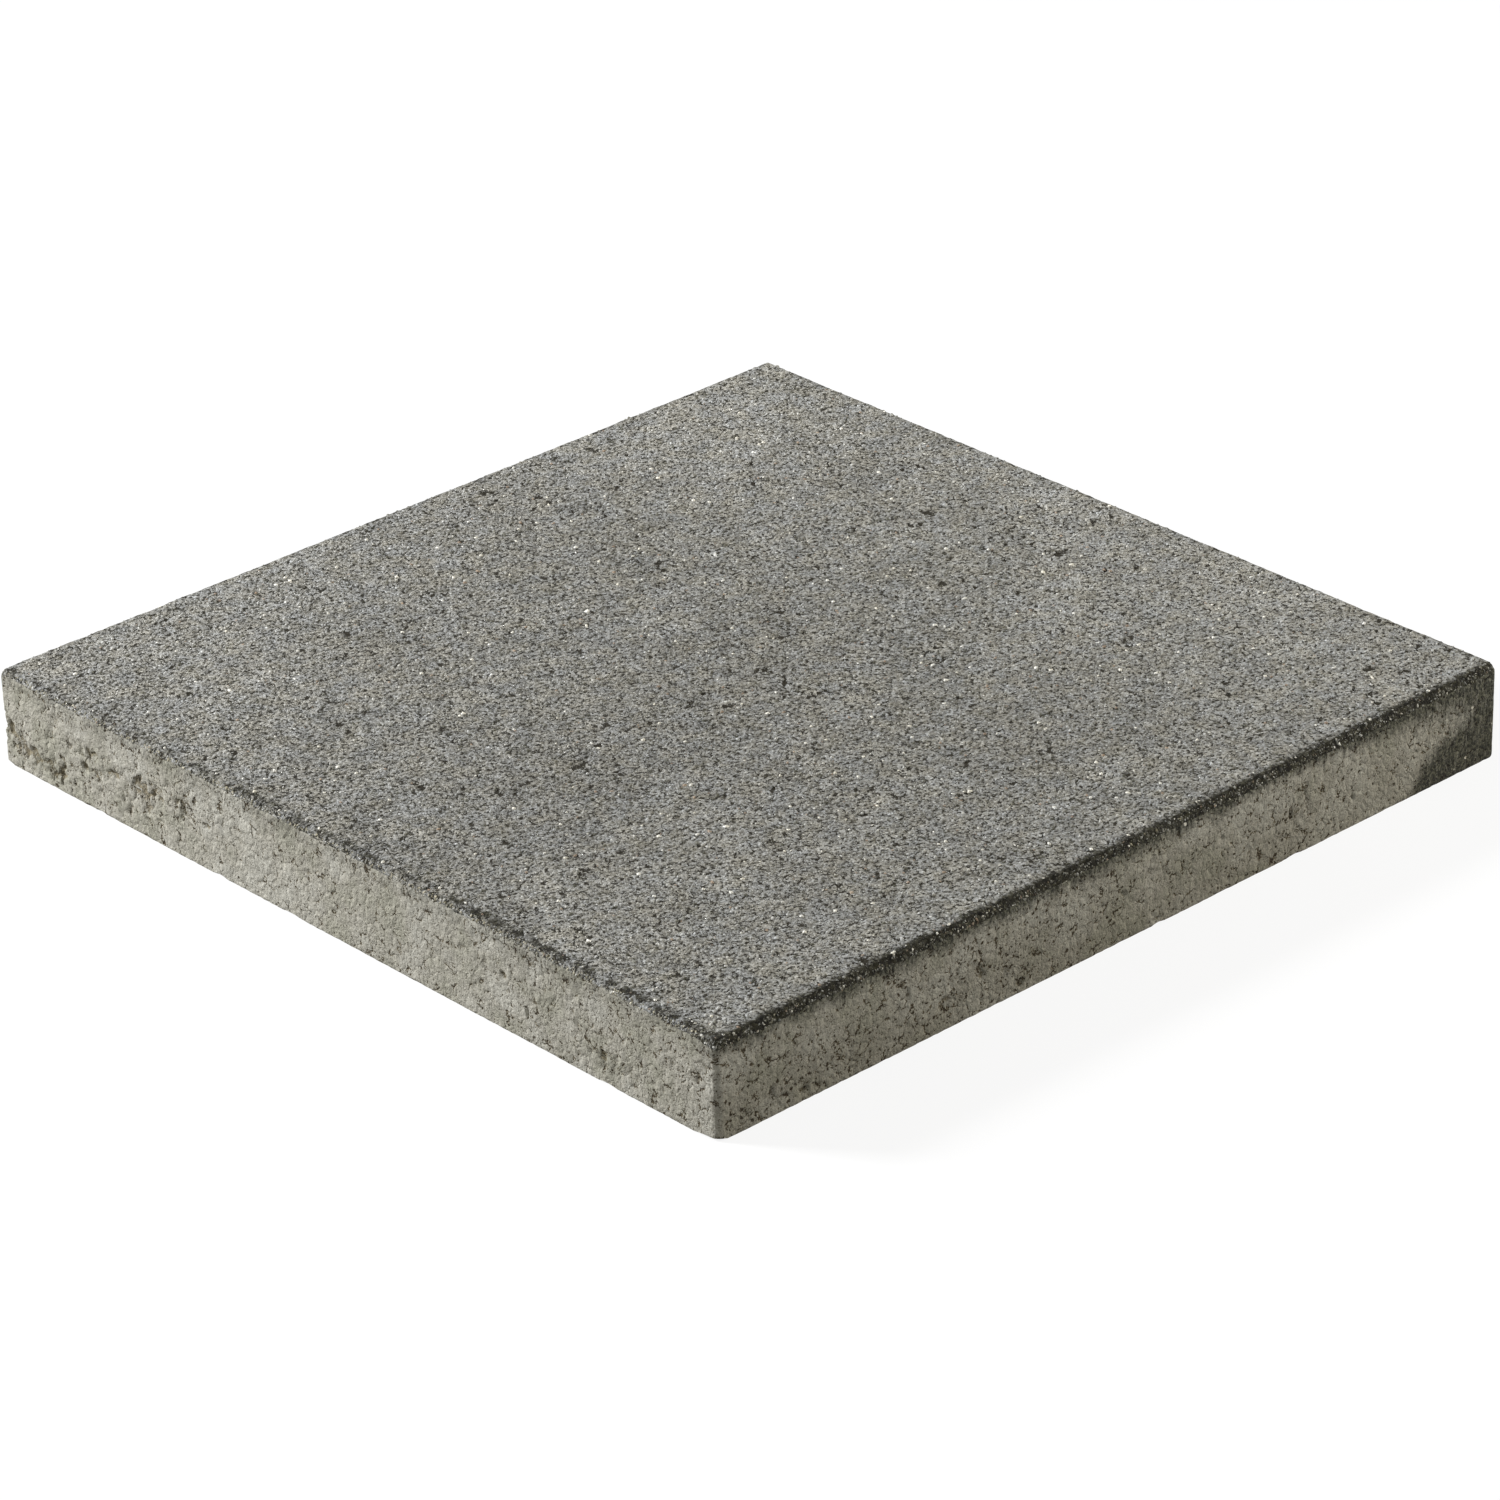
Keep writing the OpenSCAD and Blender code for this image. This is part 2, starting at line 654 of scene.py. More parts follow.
@dataclass(frozen=True)
class GrainFinish:
    """Broken mineral grain, frosted by the shot and dusty with cement.

    The eye gets near tones of one stone from grain to grain and a fine mineral speckle within
    each; clear minerals stay glossier than dull ones.
    """

    name: str
    dark: str
    middle: str
    light: str
    roughness: float
    ior: float
    shine: float = 0.2
    patches: Patches = Patches()
    speckle_mm: float = 0.5

    def material(self) -> bpy.types.Material:
        """Builds the finish.

        Returns:
            The material.
        """
        material, tree = new_material(self.name)
        draw = Pattern(tree)
        tones = [(0.0, self.dark), (0.5, self.middle), (1.0, self.light)]
        # A grain's tone holds the painted light and shade of where it lies
        stone = draw.steps(draw.attribute("tone"), tones)
        speckle = draw.swing(draw.noise(self.speckle_mm, 2.0, 0.6), 0.67, 1.35)
        colour = self.patches.over(draw, draw.times(stone, speckle))
        draw.close(colour, None, 0.0, self.roughness, self.ior, self.shine)
        return material


class Mineral(Enum):
    """The stones of the facing mix, and the sand of the body mix, each with its finish."""

    BASALT = GrainFinish("blasted_basalt_grain", "#49483E", "#6F6E65", "#8C8C85", 0.85, 1.55)
    GREYWACKE = GrainFinish("blasted_greywacke_grain", "#72716A", "#92918C", "#B1B1AE", 0.9, 1.52)
    GRANITE = GrainFinish("blasted_granite_grain", "#8C8C88", "#A9A9A5", "#C9C9C6", 0.85, 1.53)
    QUARTZ = GrainFinish("broken_quartz_grain", "#D6D3C8", "#E6E4DB", "#F4F2EC", 0.4, 1.54, 0.5)
    IRONSTONE = GrainFinish("blasted_ironstone_grain", "#8C7D6F", "#9B8B7B", "#AE9F91", 0.88, 1.55)
    BODY_SAND = GrainFinish("blasted_body_sand_grain", "#767262", "#9A9584", "#B5B09F", 0.9, 1.54)


# ---------------------------------------------------------------- mesh writing


def write_mesh(mesh: bpy.types.Mesh, points: np.ndarray, faces: list[np.ndarray]) -> None:
    """Fills a mesh from arrays.

    Args:
        mesh: An empty mesh.
        points: Places in millimetres, one row each.
        faces: Arrays of corner numbers, each of one number of corners to a face.
    """
    sizes = np.concatenate([np.full(len(f), f.shape[1], np.int32) for f in faces])
    corners = np.concatenate([f.ravel() for f in faces]).astype(np.int32)
    starts = np.concatenate([[0], np.cumsum(sizes)[:-1]]).astype(np.int32)
    mesh.vertices.add(len(points))
    mesh.vertices.foreach_set("co", (points * MM).astype(np.float32).ravel())
    mesh.loops.add(len(corners))
    mesh.loops.foreach_set("vertex_index", corners)
    mesh.polygons.add(len(sizes))
    mesh.polygons.foreach_set("loop_start", starts)
    mesh.update(calc_edges=True)


def write_attribute(mesh: bpy.types.Mesh, name: str, values: np.ndarray) -> None:
    """Stores one number a point on a mesh."""
    made = mesh.attributes.new(name, "FLOAT", "POINT")
    made.data.foreach_set("value", values.astype(np.float32))


def write_map(mesh: bpy.types.Mesh, places: np.ndarray) -> None:
    """Stores the bake map, one row of U and V a corner."""
    layer = mesh.uv_layers.new(name=BAKE_MAP)
    layer.uv.foreach_set("vector", places.astype(np.float32).ravel())


def place_piece(name: str, mesh: bpy.types.Mesh) -> bpy.types.Object:
    """Makes the object of a mesh, at the origin, and puts it on the slab's body.

    Args:
        name: The object's name.
        mesh: Its mesh.

    Returns:
        The object.
    """
    piece = bpy.data.objects.new(name, mesh)
    bpy.context.scene.collection.objects.link(piece)
    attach(piece, BODY)
    return piece


def grid_quads(cells: int, first: int, turned: bool) -> np.ndarray:
    """Corner numbers of a square grid's quads.

    Args:
        cells: Cells along each side of the grid.
        first: Number of the grid's first point; the points run along Y fastest.
        turned: True for a grid that is seen from below.

    Returns:
        Four numbers for each quad, turning outwards.
    """
    i, j = np.meshgrid(np.arange(cells), np.arange(cells), indexing="ij")
    corner = first + i * (cells + 1) + j
    quads = np.stack([corner, corner + cells + 1, corner + cells + 2, corner + 1], -1)
    quads = quads.reshape(-1, 4)
    return quads[:, ::-1] if turned else quads


# ---------------------------------------------------------------- the mould's outline


@dataclass
class Outline:
    """The mould's square with rounded corners, cut into the same columns for every layer."""

    length: float
    width: float
    corner_radius: float
    cells: int
    crowding: float = 0.2
    turn: float = 12.0
    least_radius: float = 0.4
    # How far down the arris reaches, by side: front, right, back and left
    hem_reach: tuple[float, ...] = (4.0, 2.8, 2.6, 2.3)

    def __post_init__(self) -> None:
        """Lays out the grid lines, and the columns round the slab from its front left corner.

        Formula: the grid lines stand at (1 - c) s + c (3s - s^3) / 2 of the half side, which
        crowds them a little towards the edges, and the columns take the grid's rim in order.
        """
        last = self.cells
        steps = np.linspace(-1, 1, last + 1)
        crowded = (1 - self.crowding) * steps + self.crowding * (3 * steps - steps**3) / 2
        self.lines_x = crowded * self.length / 2
        self.lines_y = crowded * self.width / 2
        self.rim = self.rim_cells(last)
        square = np.stack([self.lines_x[self.rim[:, 0]], self.lines_y[self.rim[:, 1]]], 1)
        self.core, self.outward, _ = self.rounding(square)
        steps = np.abs(np.diff(np.concatenate([square, square[:1]]), axis=0)).sum(1)
        self.along = np.concatenate([[0], np.cumsum(steps)[:-1]])
        self.side = (self.length + self.width) / 2
        self.girth = 4 * self.side

    def rim_cells(self, cells: int) -> np.ndarray:
        """Grid places round the rim of a grid, front, right, back and left in turn.

        Args:
            cells: Cells along each side of the grid.

        Returns:
            One row of two whole numbers for each place.
        """
        count, zero = np.arange(cells), np.zeros(cells, int)
        front = np.stack([count, zero], 1)
        right = np.stack([zero + cells, count], 1)
        back = np.stack([cells - count, zero + cells], 1)
        left = np.stack([zero, cells - count], 1)
        return np.concatenate([front, right, back, left])

    def rounding(self, square: np.ndarray) -> tuple[np.ndarray, np.ndarray, np.ndarray]:
        """Splits points of the square outline's plane for the rounded corners.

        Formula: the core is the point brought within the rectangle of the corners' axes, the
        outward direction points from there to the point, and the reach is the larger of the two
        distances past that rectangle, so that a square of points becomes a quarter disc.

        Args:
            square: One row of X and Y for each point.

        Returns:
            The cores, the outward unit directions and the reaches.
        """
        inner = np.array([self.length, self.width]) / 2 - self.corner_radius
        core = np.clip(square, -inner, inner)
        past = square - core
        size = np.linalg.norm(past, axis=1)
        return core, past / np.maximum(size, 1e-9)[:, None], np.abs(past).max(1)

    def edge_distance(self, flat: np.ndarray) -> np.ndarray:
        """Distance of each point, a row of X and Y, from the nearest side."""
        return (np.array([self.length, self.width]) / 2 - np.abs(flat)).min(1)

    def ring(self, inset: np.ndarray, down: np.ndarray, thickness: float) -> np.ndarray:
        """Points on rings round the slab.

        Formula: each point stands on its column's core, pushed outwards by the corner radius
        less its inset, and as far below the wearing face as it is down. In the rounded corners
        the inset stops short of the corner's axis.

        Args:
            inset: Distance in from the side, by ring and column.
            down: Depth below the wearing face, by ring and column.
            thickness: Height of the wearing face.

        Returns:
            Points as ring by column by 3.
        """
        on_corner = np.abs(self.outward).max(1) < 0.9999
        most = self.corner_radius - self.least_radius
        inset = np.where(on_corner, np.minimum(inset, most), inset)
        flat = self.core + self.outward * (self.corner_radius - inset)[..., None]
        return np.concatenate([flat, (thickness - down)[..., None]], -1)

    def hem(self) -> tuple[np.ndarray, np.ndarray, np.ndarray]:
        """How the blasted arris wanders along the columns, and how far down it reaches.

        Formula: a fine and a coarse noise of the place on the rim; break-outs, large and small,
        strewn as spots on a strip along it; and a reach that changes from side to side.

        Returns:
            The wander, from -1 to 1, the break-outs, from 0 to 1, and the reach in millimetres.
        """
        ring = self.core + self.outward * self.corner_radius
        wander = 0.6 * smooth_noise(ring, 1.9, SEED + 1) + 0.4 * smooth_noise(ring, 6.0, SEED + 2)
        line = np.stack([self.along, np.full_like(self.along, 4.0)], 1)
        broken = spots(line, 8.0, 0.55, (1.6, 5.0), SEED + 3)
        broken = np.maximum(broken, 0.7 * spots(line, 4.0, 0.5, (1.0, 2.0), SEED + 4))
        return wander, broken, self.by_side(*self.hem_reach)

    def by_side(self, front: float, right: float, back: float, left: float) -> np.ndarray:
        """A value for each column that changes from side to side round the corners.

        Formula: it stays as it is along each side and runs evenly into the next one's within the
        length of the turn, before and after the corner.

        Args:
            front: The value on the front side.
            right: The value on the right side.
            back: The value on the back side.
            left: The value on the left side.

        Returns:
            One number a column.
        """
        corner = np.array([0, 1, 1, 2, 2, 3, 3, 4, 4]) * self.side
        turns = corner + self.turn * np.array([1, -1, 1, -1, 1, -1, 1, -1, 0])
        values = [front, front, right, right, back, back, left, left, front]
        return np.interp(self.along, turns, values)

    def cap(
        self, cells: int, inset: float, edge: np.ndarray, first: int, below: bool
    ) -> tuple[np.ndarray, np.ndarray, np.ndarray]:
        """A coarse grid that closes a layer, and the triangles that join it to its last ring.

        Formula: a whole number of columns faces one step of the grid's rim; the first half of them
        fans to the step's start, one triangle spans the step, and the rest fans to its end.

        Args:
            cells: Cells along each side, a whole part of the outline's own.
            inset: Distance in from the sides.
            edge: Point numbers of the ring that is closed.
            first: Number of the cap's first point.
            below: True where the cap is seen from below.

        Returns:
            X and Y of the cap's points, its quads and its joining triangles.
        """
        half = np.array([self.length, self.width]) / 2 - inset
        steps = np.linspace(-1, 1, cells + 1)
        flat = np.stack(np.meshgrid(steps * half[0], steps * half[1], indexing="ij"), -1)
        share = self.cells // cells
        rim = self.rim_cells(cells)
        start = first + rim[:, 0] * (cells + 1) + rim[:, 1]
        end = np.roll(start, -1)
        near = np.concatenate([edge, edge[:1]])
        column = np.arange(len(start)) * share
        fans = []
        for step in range(share):
            hub = start if step < share // 2 else end
            fans.append(np.stack([near[column + step], hub, near[column + step + 1]], 1))
        fans.append(np.stack([start, end, near[column + share // 2]], 1))
        fans = np.concatenate(fans)
        if not below:
            fans = fans[:, ::-1]
        return flat.reshape(-1, 2), grid_quads(cells, first, turned=below), fans


def walls(bands: np.ndarray) -> np.ndarray:
    """Quads between rings of points that are given from the top down, by ring and column."""
    after = np.roll(bands, -1, axis=1)
    return np.stack([bands[:-1], bands[1:], after[1:], after[:-1]], -1).reshape(-1, 4)


def way_down(points: np.ndarray, bands: np.ndarray) -> np.ndarray:
    """Mean way along the section from the first ring, by point numbers, to every ring."""
    steps = np.linalg.norm(np.diff(points[bands], axis=0), axis=2).mean(1)
    return np.concatenate([[0], np.cumsum(steps)])


# ---------------------------------------------------------------- the facing


@dataclass
class BlastedFace:
    """The facing mix where the shot cut it back: the wearing face and the arris round it."""

    outline: Outline
    thickness: float
    setback: float = 2.0
    mean_depth: float = 0.6
    pit_depth: float = 0.45
    least_depth: float = 0.1
    rim_width: float = 6.0
    rim_fall: float = 0.8
    base_tone: float = 0.375
    dust_and_shade_tone: float = 0.45
    hidden_cells: int = 20
    hidden_inset: float = 4.0
    hidden_down: float = 7.0
    # By side, in the order of the columns: front, right, back and left
    # The arris's dust shares are partly painted shade, strongest on the front side, which lies in shade
    dust_and_shade_share: tuple[float, ...] = (1.0, 0.4, 0.3, 0.22)
    rim_dust_and_shade: tuple[float, ...] = (1.0, 0.4, 0.3, 0.0)
    dust_and_shade_reach: tuple[float, ...] = (5.4, 2.6, 2.6, 2.6)
    torn_arris: tuple[float, ...] = (0.4, 0.2, 0.2, 0.3)
    # The dusty band beside the left arris: its middle and half its width, in from the side, and
    # its strength at places along Y
    band_middle: float = 3.4
    band_half: float = 3.0
    band_strength: tuple[tuple[float, float], ...] = (
        (-200, 0.85), (-50, 0.5), (100, 0.42), (200, 0.25),
    )

    def pits(self, points: np.ndarray) -> np.ndarray:
        """Where grains were torn out of the top, from 0 to 1 in the middle of the pit.

        Formula: noises of 3.4 and 1.7 mm, helped by one of 14 mm so that pits gather, taken from
        a level up; and a few round pits strewn as spots.

        Args:
            points: One row of X and Y for each point.

        Returns:
            One number a point.
        """
        torn = 0.6 * smooth_noise(points, 3.4, SEED + 11) + 0.4 * smooth_noise(points, 1.7, SEED + 12)
        torn += 0.22 * smooth_noise(points, 14.0, SEED + 13)
        round_ones = spots(points, 12.0, 0.12, (0.8, 1.4), SEED + 16)
        return np.maximum(ramp(torn, 0.62, 0.92), round_ones)

    def tone(self, points: np.ndarray) -> np.ndarray:
        """Slow changes of tone over the top, from 0, dark, to 1, light.

        Formula: noises of 5, 13, 37 and 110 mm, each on axes turned its own way; painted light,
        paler towards the back and right edges, and a faint paler strip along the front; a darker
        middle, a dark rim, and what the dust and painted shade take off.

        Args:
            points: One row of X and Y, and perhaps Z, for each point.

        Returns:
            One number a point.
        """
        flat = points[:, :2]
        tone = np.full(len(flat), self.base_tone)
        layers = ((5.0, 0.2, 0.4), (13.0, 0.11, 1.1), (37.0, 0.08, 0.7), (110.0, 0.06, 0.2))
        for size, weight, turn in layers:
            axes = np.array([[math.cos(turn), -math.sin(turn)], [math.sin(turn), math.cos(turn)]])
            tone += weight * smooth_noise(flat @ axes, size, SEED + 70 + int(size))
        # Painted light: the top grows paler towards the back and right edges
        tone += 0.14 * ramp(flat[:, 1], 70, 205) + 0.18 * ramp(flat[:, 0], 40, 200)
        tone += 0.06 * ramp(-flat[:, 1], 175, 193)
        middle = ((flat[:, 0] + 45) / 160) ** 2 + ((flat[:, 1] + 10) / 180) ** 2
        edge = np.clip(1 - self.outline.edge_distance(flat) / self.rim_width, 0, 1)
        tone -= 0.08 * np.clip(1 - middle, 0, 1) + 0.3 * edge
        # Dust and painted shade darken the rim's tone
        return tone - self.dust_and_shade_tone * self.dust_and_shade(flat)

    def dust_and_shade(self, flat: np.ndarray) -> np.ndarray:
        """Share of dark dust on the outer millimetres of the top, partly painted shade along the
        arris, most of all on the front side.

        Formula: on each side a share that falls off from the arris inwards; and, beside the left
        arris, a patchy band, 1 - x^2 across its half width, that grows stronger towards the front.

        Args:
            flat: One row of X and Y for each point.

        Returns:
            Shares from 0 to 1.
        """
        half = np.array([self.outline.length, self.outline.width]) / 2
        low, high = half + flat, half - flat
        apart = np.stack([low[:, 1], high[:, 0], high[:, 1], low[:, 0]], 1)
        reach, share = np.array(self.dust_and_shade_reach), np.array(self.rim_dust_and_shade)
        rim = (share * np.clip((reach - apart) / (reach - self.setback), 0, 1)).max(1)
        band = np.clip(1 - ((low[:, 0] - self.band_middle) / self.band_half) ** 2, 0, 1)
        band *= np.interp(flat[:, 1], *zip(*self.band_strength))
        band *= 1 + 0.8 * smooth_noise(flat, 4.0, SEED + 18)
        return np.maximum(rim, band)

    def depth(self, points: np.ndarray) -> np.ndarray:
        """Depth of the mortar below the wearing face.

        Formula: the mean depth plus noises of 22, 7 and 2.8 mm, more in the pits, and a fall
        towards the arris that grows with the square of the way through the rim.

        Args:
            points: One row of X and Y for each point.

        Returns:
            The depths, in millimetres.
        """
        edge = self.outline.edge_distance(points)
        depth = self.mean_depth + 0.07 * smooth_noise(points, 22.0, SEED + 5)
        depth += 0.10 * smooth_noise(points, 7.0, SEED + 6)
        depth += 0.16 * smooth_noise(points, 2.8, SEED + 7)
        depth += self.pit_depth * self.pits(points)
        depth += self.rim_fall * np.clip(1 - edge / self.rim_width, 0, 1) ** 2
        return np.maximum(depth, self.least_depth)

    def top(self) -> np.ndarray:
        """The wearing face as a grid.

        Formula: the outer band of the grid, as wide as the corner radius, is drawn in by the
        arris's setback, and every point is lowered by the blasted depth.

        Returns:
            One row of X, Y and Z for each grid point, Y running fastest.
        """
        lines = np.meshgrid(self.outline.lines_x, self.outline.lines_y, indexing="ij")
        core, outward, reach = self.outline.rounding(np.stack(lines, -1).reshape(-1, 2))
        share = 1 - self.setback / self.outline.corner_radius
        flat = core + outward * (reach * share)[:, None]
        return np.concatenate([flat, (self.thickness - self.depth(flat))[:, None]], 1)

    def arris(self) -> np.ndarray:
        """The blasted arris, from the wearing face down behind the lip of the formed side.

        Formula: a section of six points, each with its inset, its share of the way down to the
        hem's reach and its looseness, is carried round the slab; wander and break-outs move it
        in and down, and a fine noise roughens it. Each hidden ring lies a step below the last.

        Returns:
            Points as ring by column by 3, the last two rings hidden in the body.
        """
        wander, broken, reach = self.outline.hem()
        section = [(1.8, 0.1, 0.35), (1.25, 0.4, 0.3), (0.75, 0.75, 0.2)]
        section += [(0.42, 1.1, 0.05), (1.2, 1.1, 0.05), (2.4, 1.1, 0.05)]
        start, hidden_step = 1.2, 1.2
        inset, down = [], []
        for number, (base_in, share, loose) in enumerate(section):
            line = np.stack([self.outline.along, np.full_like(wander, number * 9.0)], 1)
            rough = smooth_noise(line, 1.7, SEED + 8)
            inset.append(base_in + loose * (wander + rough) + 0.5 * broken * (number < 4))
            fall = 0.2 * rough * (number < 4) + 0.5 * broken * (number < 3)
            hidden = hidden_step * max(0, number - 3)
            down.append(start + share * (reach - start) + fall + hidden)
        return self.outline.ring(np.array(inset), np.array(down), self.thickness)

    def build(self) -> bpy.types.Object:
        """Builds the closed mesh of the facing: the top, the arris and a cap hidden in the body.

        The mesh stores the dust and painted shade as "cut", the torn places as "pit" and the tone.

        Returns:
            The dressed object.
        """
        top, rings = self.top(), self.arris()
        count, columns = rings.shape[:2]
        cells = self.outline.cells
        rim = self.outline.rim[:, 0] * (cells + 1) + self.outline.rim[:, 1]
        numbers = len(top) + np.arange(count * columns).reshape(count, columns)
        bands = np.concatenate([rim[None], numbers])
        first = len(top) + count * columns
        flat, quads, fans = self.outline.cap(
            self.hidden_cells, self.hidden_inset, bands[-1], first, below=True
        )
        level = np.full((len(flat), 1), self.thickness - self.hidden_down)
        points = np.concatenate([top, rings.reshape(-1, 3), np.concatenate([flat, level], 1)])
        faces = [grid_quads(cells, 0, turned=False), walls(bands), quads, fans]
        mesh = bpy.data.meshes.new("blasted_facing")
        write_mesh(mesh, points, faces)
        mesh.polygons.foreach_set("use_smooth", np.ones(len(mesh.polygons), bool))
        # The dust shares are partly painted shade, strongest along the front arris
        cut = self.dust_and_shade(points[:, :2])
        cut[len(top) : first] = np.tile(self.outline.by_side(*self.dust_and_shade_share), count)
        write_attribute(mesh, "cut", cut)
        pit = self.pits(points[:, :2])
        pit[len(top) :] = 0
        # Torn places of the arris, which the mortar darkens with painted shade
        torn = ramp(smooth_noise(points[len(top) : first], 2.0, SEED + 17), -0.3, 0.4)
        pit[len(top) : first] = torn * np.tile(self.outline.by_side(*self.torn_arris), count)
        write_attribute(mesh, "pit", pit)
        write_attribute(mesh, "tone", np.clip(self.tone(points), 0, 1))
        self.write_bake_map(mesh, points, bands, faces)
        mesh.materials.append(BlastedMortar().material())
        return place_piece("blasted_facing", mesh)

    def write_bake_map(
        self, mesh: bpy.types.Mesh, points: np.ndarray, bands: np.ndarray, faces: list[np.ndarray]
    ) -> None:
        """Lays the surface out flat for a bake.

        Formula: the top keeps its own X and Y, each ring of the arris is folded out round it by
        its way along the section, and the hidden cap is shrunk into a corner.

        Args:
            mesh: The mesh that gets the map.
            points: Every point of the mesh.
            bands: Point numbers by ring and column, the top's rim first.
            faces: Corner numbers of the top, the arris, the cap and its joining triangles.
        """
        drop = way_down(points, bands)
        folded = points[:, :2].copy()
        folded[bands] = points[bands[0], :2][None] + self.outline.outward * drop[:, None, None]
        reach = self.outline.side / 2 + drop[-1]
        margin, corner = 0.02, 0.016
        spread = margin + (1 - 2 * margin) * (folded / reach + 1) / 2
        hidden = (margin - corner) / 2 + corner * (points[:, :2] / self.outline.side + 0.5)
        loops = [spread[faces[0].ravel()], spread[faces[1].ravel()]]
        loops += [hidden[faces[2].ravel()], hidden[faces[3].ravel()]]
        write_map(mesh, np.concatenate(loops))


# ---------------------------------------------------------------- the body


class Face(Enum):
    """The four sides, in the order of the columns round the slab."""

    FRONT = 0
    RIGHT = 1
    BACK = 2
    LEFT = 3


@dataclass(frozen=True)
class Hollow:
    """A void in a side where the press did not close up the dry mix.

    `along` runs from the side's start, as the columns do, and `down` from the wearing face. With
    a `stone`, that share of the void is filled by a stone that stands up to the skin.
    """

    face: Face
    along: float
    down: float
    width: float
    height: float
    depth: float
    stone: float = 0.0


@dataclass(frozen=True)
class DryZone:
    """A stretch of a side where the mix was too dry to close, full of gaps between its clods."""

    face: Face
    along: float
    down: float
    half_along: float
    half_down: float
    share: float


@dataclass
class CastBody:
    """The body mix: the four formed sides, from the lip under the arris to the underside."""

    outline: Outline
    thickness: float
    hollows: list[Hollow]
    dry_zones: list[DryZone]
    side_rows: int = 40
    foot_bevel: float = 0.12
    full_void: float = 1.6
    base_cells: int = 60
    base_inset: float = 2.2
    base_rise: float = 0.15
    hidden_cells: int = 16
    hidden_inset: float = 4.0
    hidden_down: float = 6.0
    # How strongly the facing mix shows, by side: front, right, back and left. It is partly the mix
    # itself and partly painted shade, full on the shaded front side and half on the lit left one
    veil_and_shade: tuple[float, ...] = (1.0, 1.0, 0.9, 0.5)

    def place_of(self, face: Face, along: float) -> float:
        """Place round the slab of a place along one side."""
        return face.value * self.outline.side + along

    def dryness(self, flat: np.ndarray) -> np.ndarray:
        """How dry the mix was, from 0 to 1.

        Formula: the largest of the zones, each a share times 1 - distance^2 within its ellipse,
        and a wide noise over all the sides.

        Args:
            flat: Place round the slab and depth of each point.

        Returns:
            One number a point.
        """
        dry = 0.15 + 0.2 * smooth_noise(flat, 22.0, SEED + 20)
        for zone in self.dry_zones:
            apart_x = (flat[:, 0] - self.place_of(zone.face, zone.along)) / zone.half_along
            apart_y = (flat[:, 1] - zone.down) / zone.half_down
            dry = np.maximum(dry, zone.share * (1 - apart_x**2 - apart_y**2))
        return np.clip(dry, 0, 1)

    def openness(self, flat: np.ndarray) -> np.ndarray:
        """How open the skin's seams and pores are, from 0 to 1.

        Formula: a share for each stretch round the slab, plus a noise of 16 mm, more where the
        mix was dry, and more at the top of the left side, down to 9 mm.

        Args:
            flat: Place round the slab and depth of each point.

        Returns:
            One number a point.
        """
        side = self.outline.side
        left = self.place_of(Face.LEFT, 0)
        stations = [(0, 0.8), (130, 0.85), (170, 0.7), (side, 0.6), (side + 60, 0.4), (left, 0.3)]
        stations += [(left + 30, 0.35), (left + 80, 0.45), (left + 230, 0.4), (left + 300, 0.6)]
        stations += [(self.outline.girth, 0.65)]
        share = np.interp(flat[:, 0], *zip(*stations)) + 0.25 * smooth_noise(flat, 16.0, SEED + 27)
        share += 0.5 * (flat[:, 0] > left) * ramp(flat[:, 1], 9.0, 5.0)
        return share + 0.8 * np.clip(self.dryness(flat) - 0.4, 0, 1)

    def dampness(self, flat: np.ndarray) -> np.ndarray:
        """How much painted shade darkens the foot of the front side, from 0 to 1."""
        front = ramp(flat[:, 0], 0, 4) * ramp(self.outline.side + 10 - flat[:, 0], 0, 10)
        return 0.4 * front * ramp(flat[:, 1], 8, 44)

    def voids(self, flat: np.ndarray) -> np.ndarray:
        """Depth of the voids and pores in the sides.

        Formula: each named void is an ellipse whose depth goes as 0.8 - distance^2, bent by
        noise, with a stone's dome taken out of it; where the mix was dry, seams between clods of
        4.4 and 2.3 mm stand open, some more than others; and all end short of the arris and of
        the foot.

        Args:
            flat: Place round the slab and depth of each point.

        Returns:
            The depths into the side, in millimetres.
        """
        bend = 0.5 * smooth_noise(flat, 2.6, SEED + 21) + 0.5 * smooth_noise(flat, 1.2, SEED + 22)
        depth = np.zeros(len(flat))
        for hollow in self.hollows:
            apart_x = (flat[:, 0] - self.place_of(hollow.face, hollow.along)) * 2 / hollow.width
            apart_y = (flat[:, 1] - hollow.down) * 2 / hollow.height
            apart = apart_x**2 + apart_y**2
            bowl = np.clip(0.8 - apart + 0.9 * bend, 0, 0.8) / 0.8 * (apart < 2.5)
            if hollow.stone:
                bowl *= 1 - np.sqrt(np.clip(1 - apart / hollow.stone**2, 0, 1))
            depth = np.maximum(depth, 0.6 * hollow.depth * bowl)
        moved = flat + 0.8 * bend[:, None] * (1.0, -1.0)
        wide = ramp(seams(moved, 4.4, SEED + 24), 0.6, 0.92)
        narrow = ramp(seams(moved, 2.3, SEED + 25), 0.6, 0.95)
        ragged = 0.28 * smooth_noise(flat, 6.0, SEED + 26) + 0.15 * smooth_noise(flat, 2.6, SEED + 28)
        loose = ramp(self.dryness(flat) + ragged, 0.25, 1.05)
        gate = 0.3 + 0.7 * ramp(smooth_noise(flat, 3.6, SEED + 29), -0.4, 0.4)
        honeycomb = loose * (1.5 * wide * gate + 0.5 * narrow + 0.1 * loose)
        depth = np.maximum(depth, honeycomb)
        foot = ramp(self.thickness - flat[:, 1], 0.3, 2.5)
        return depth * ramp(flat[:, 1], 2.5, 4.5) * foot

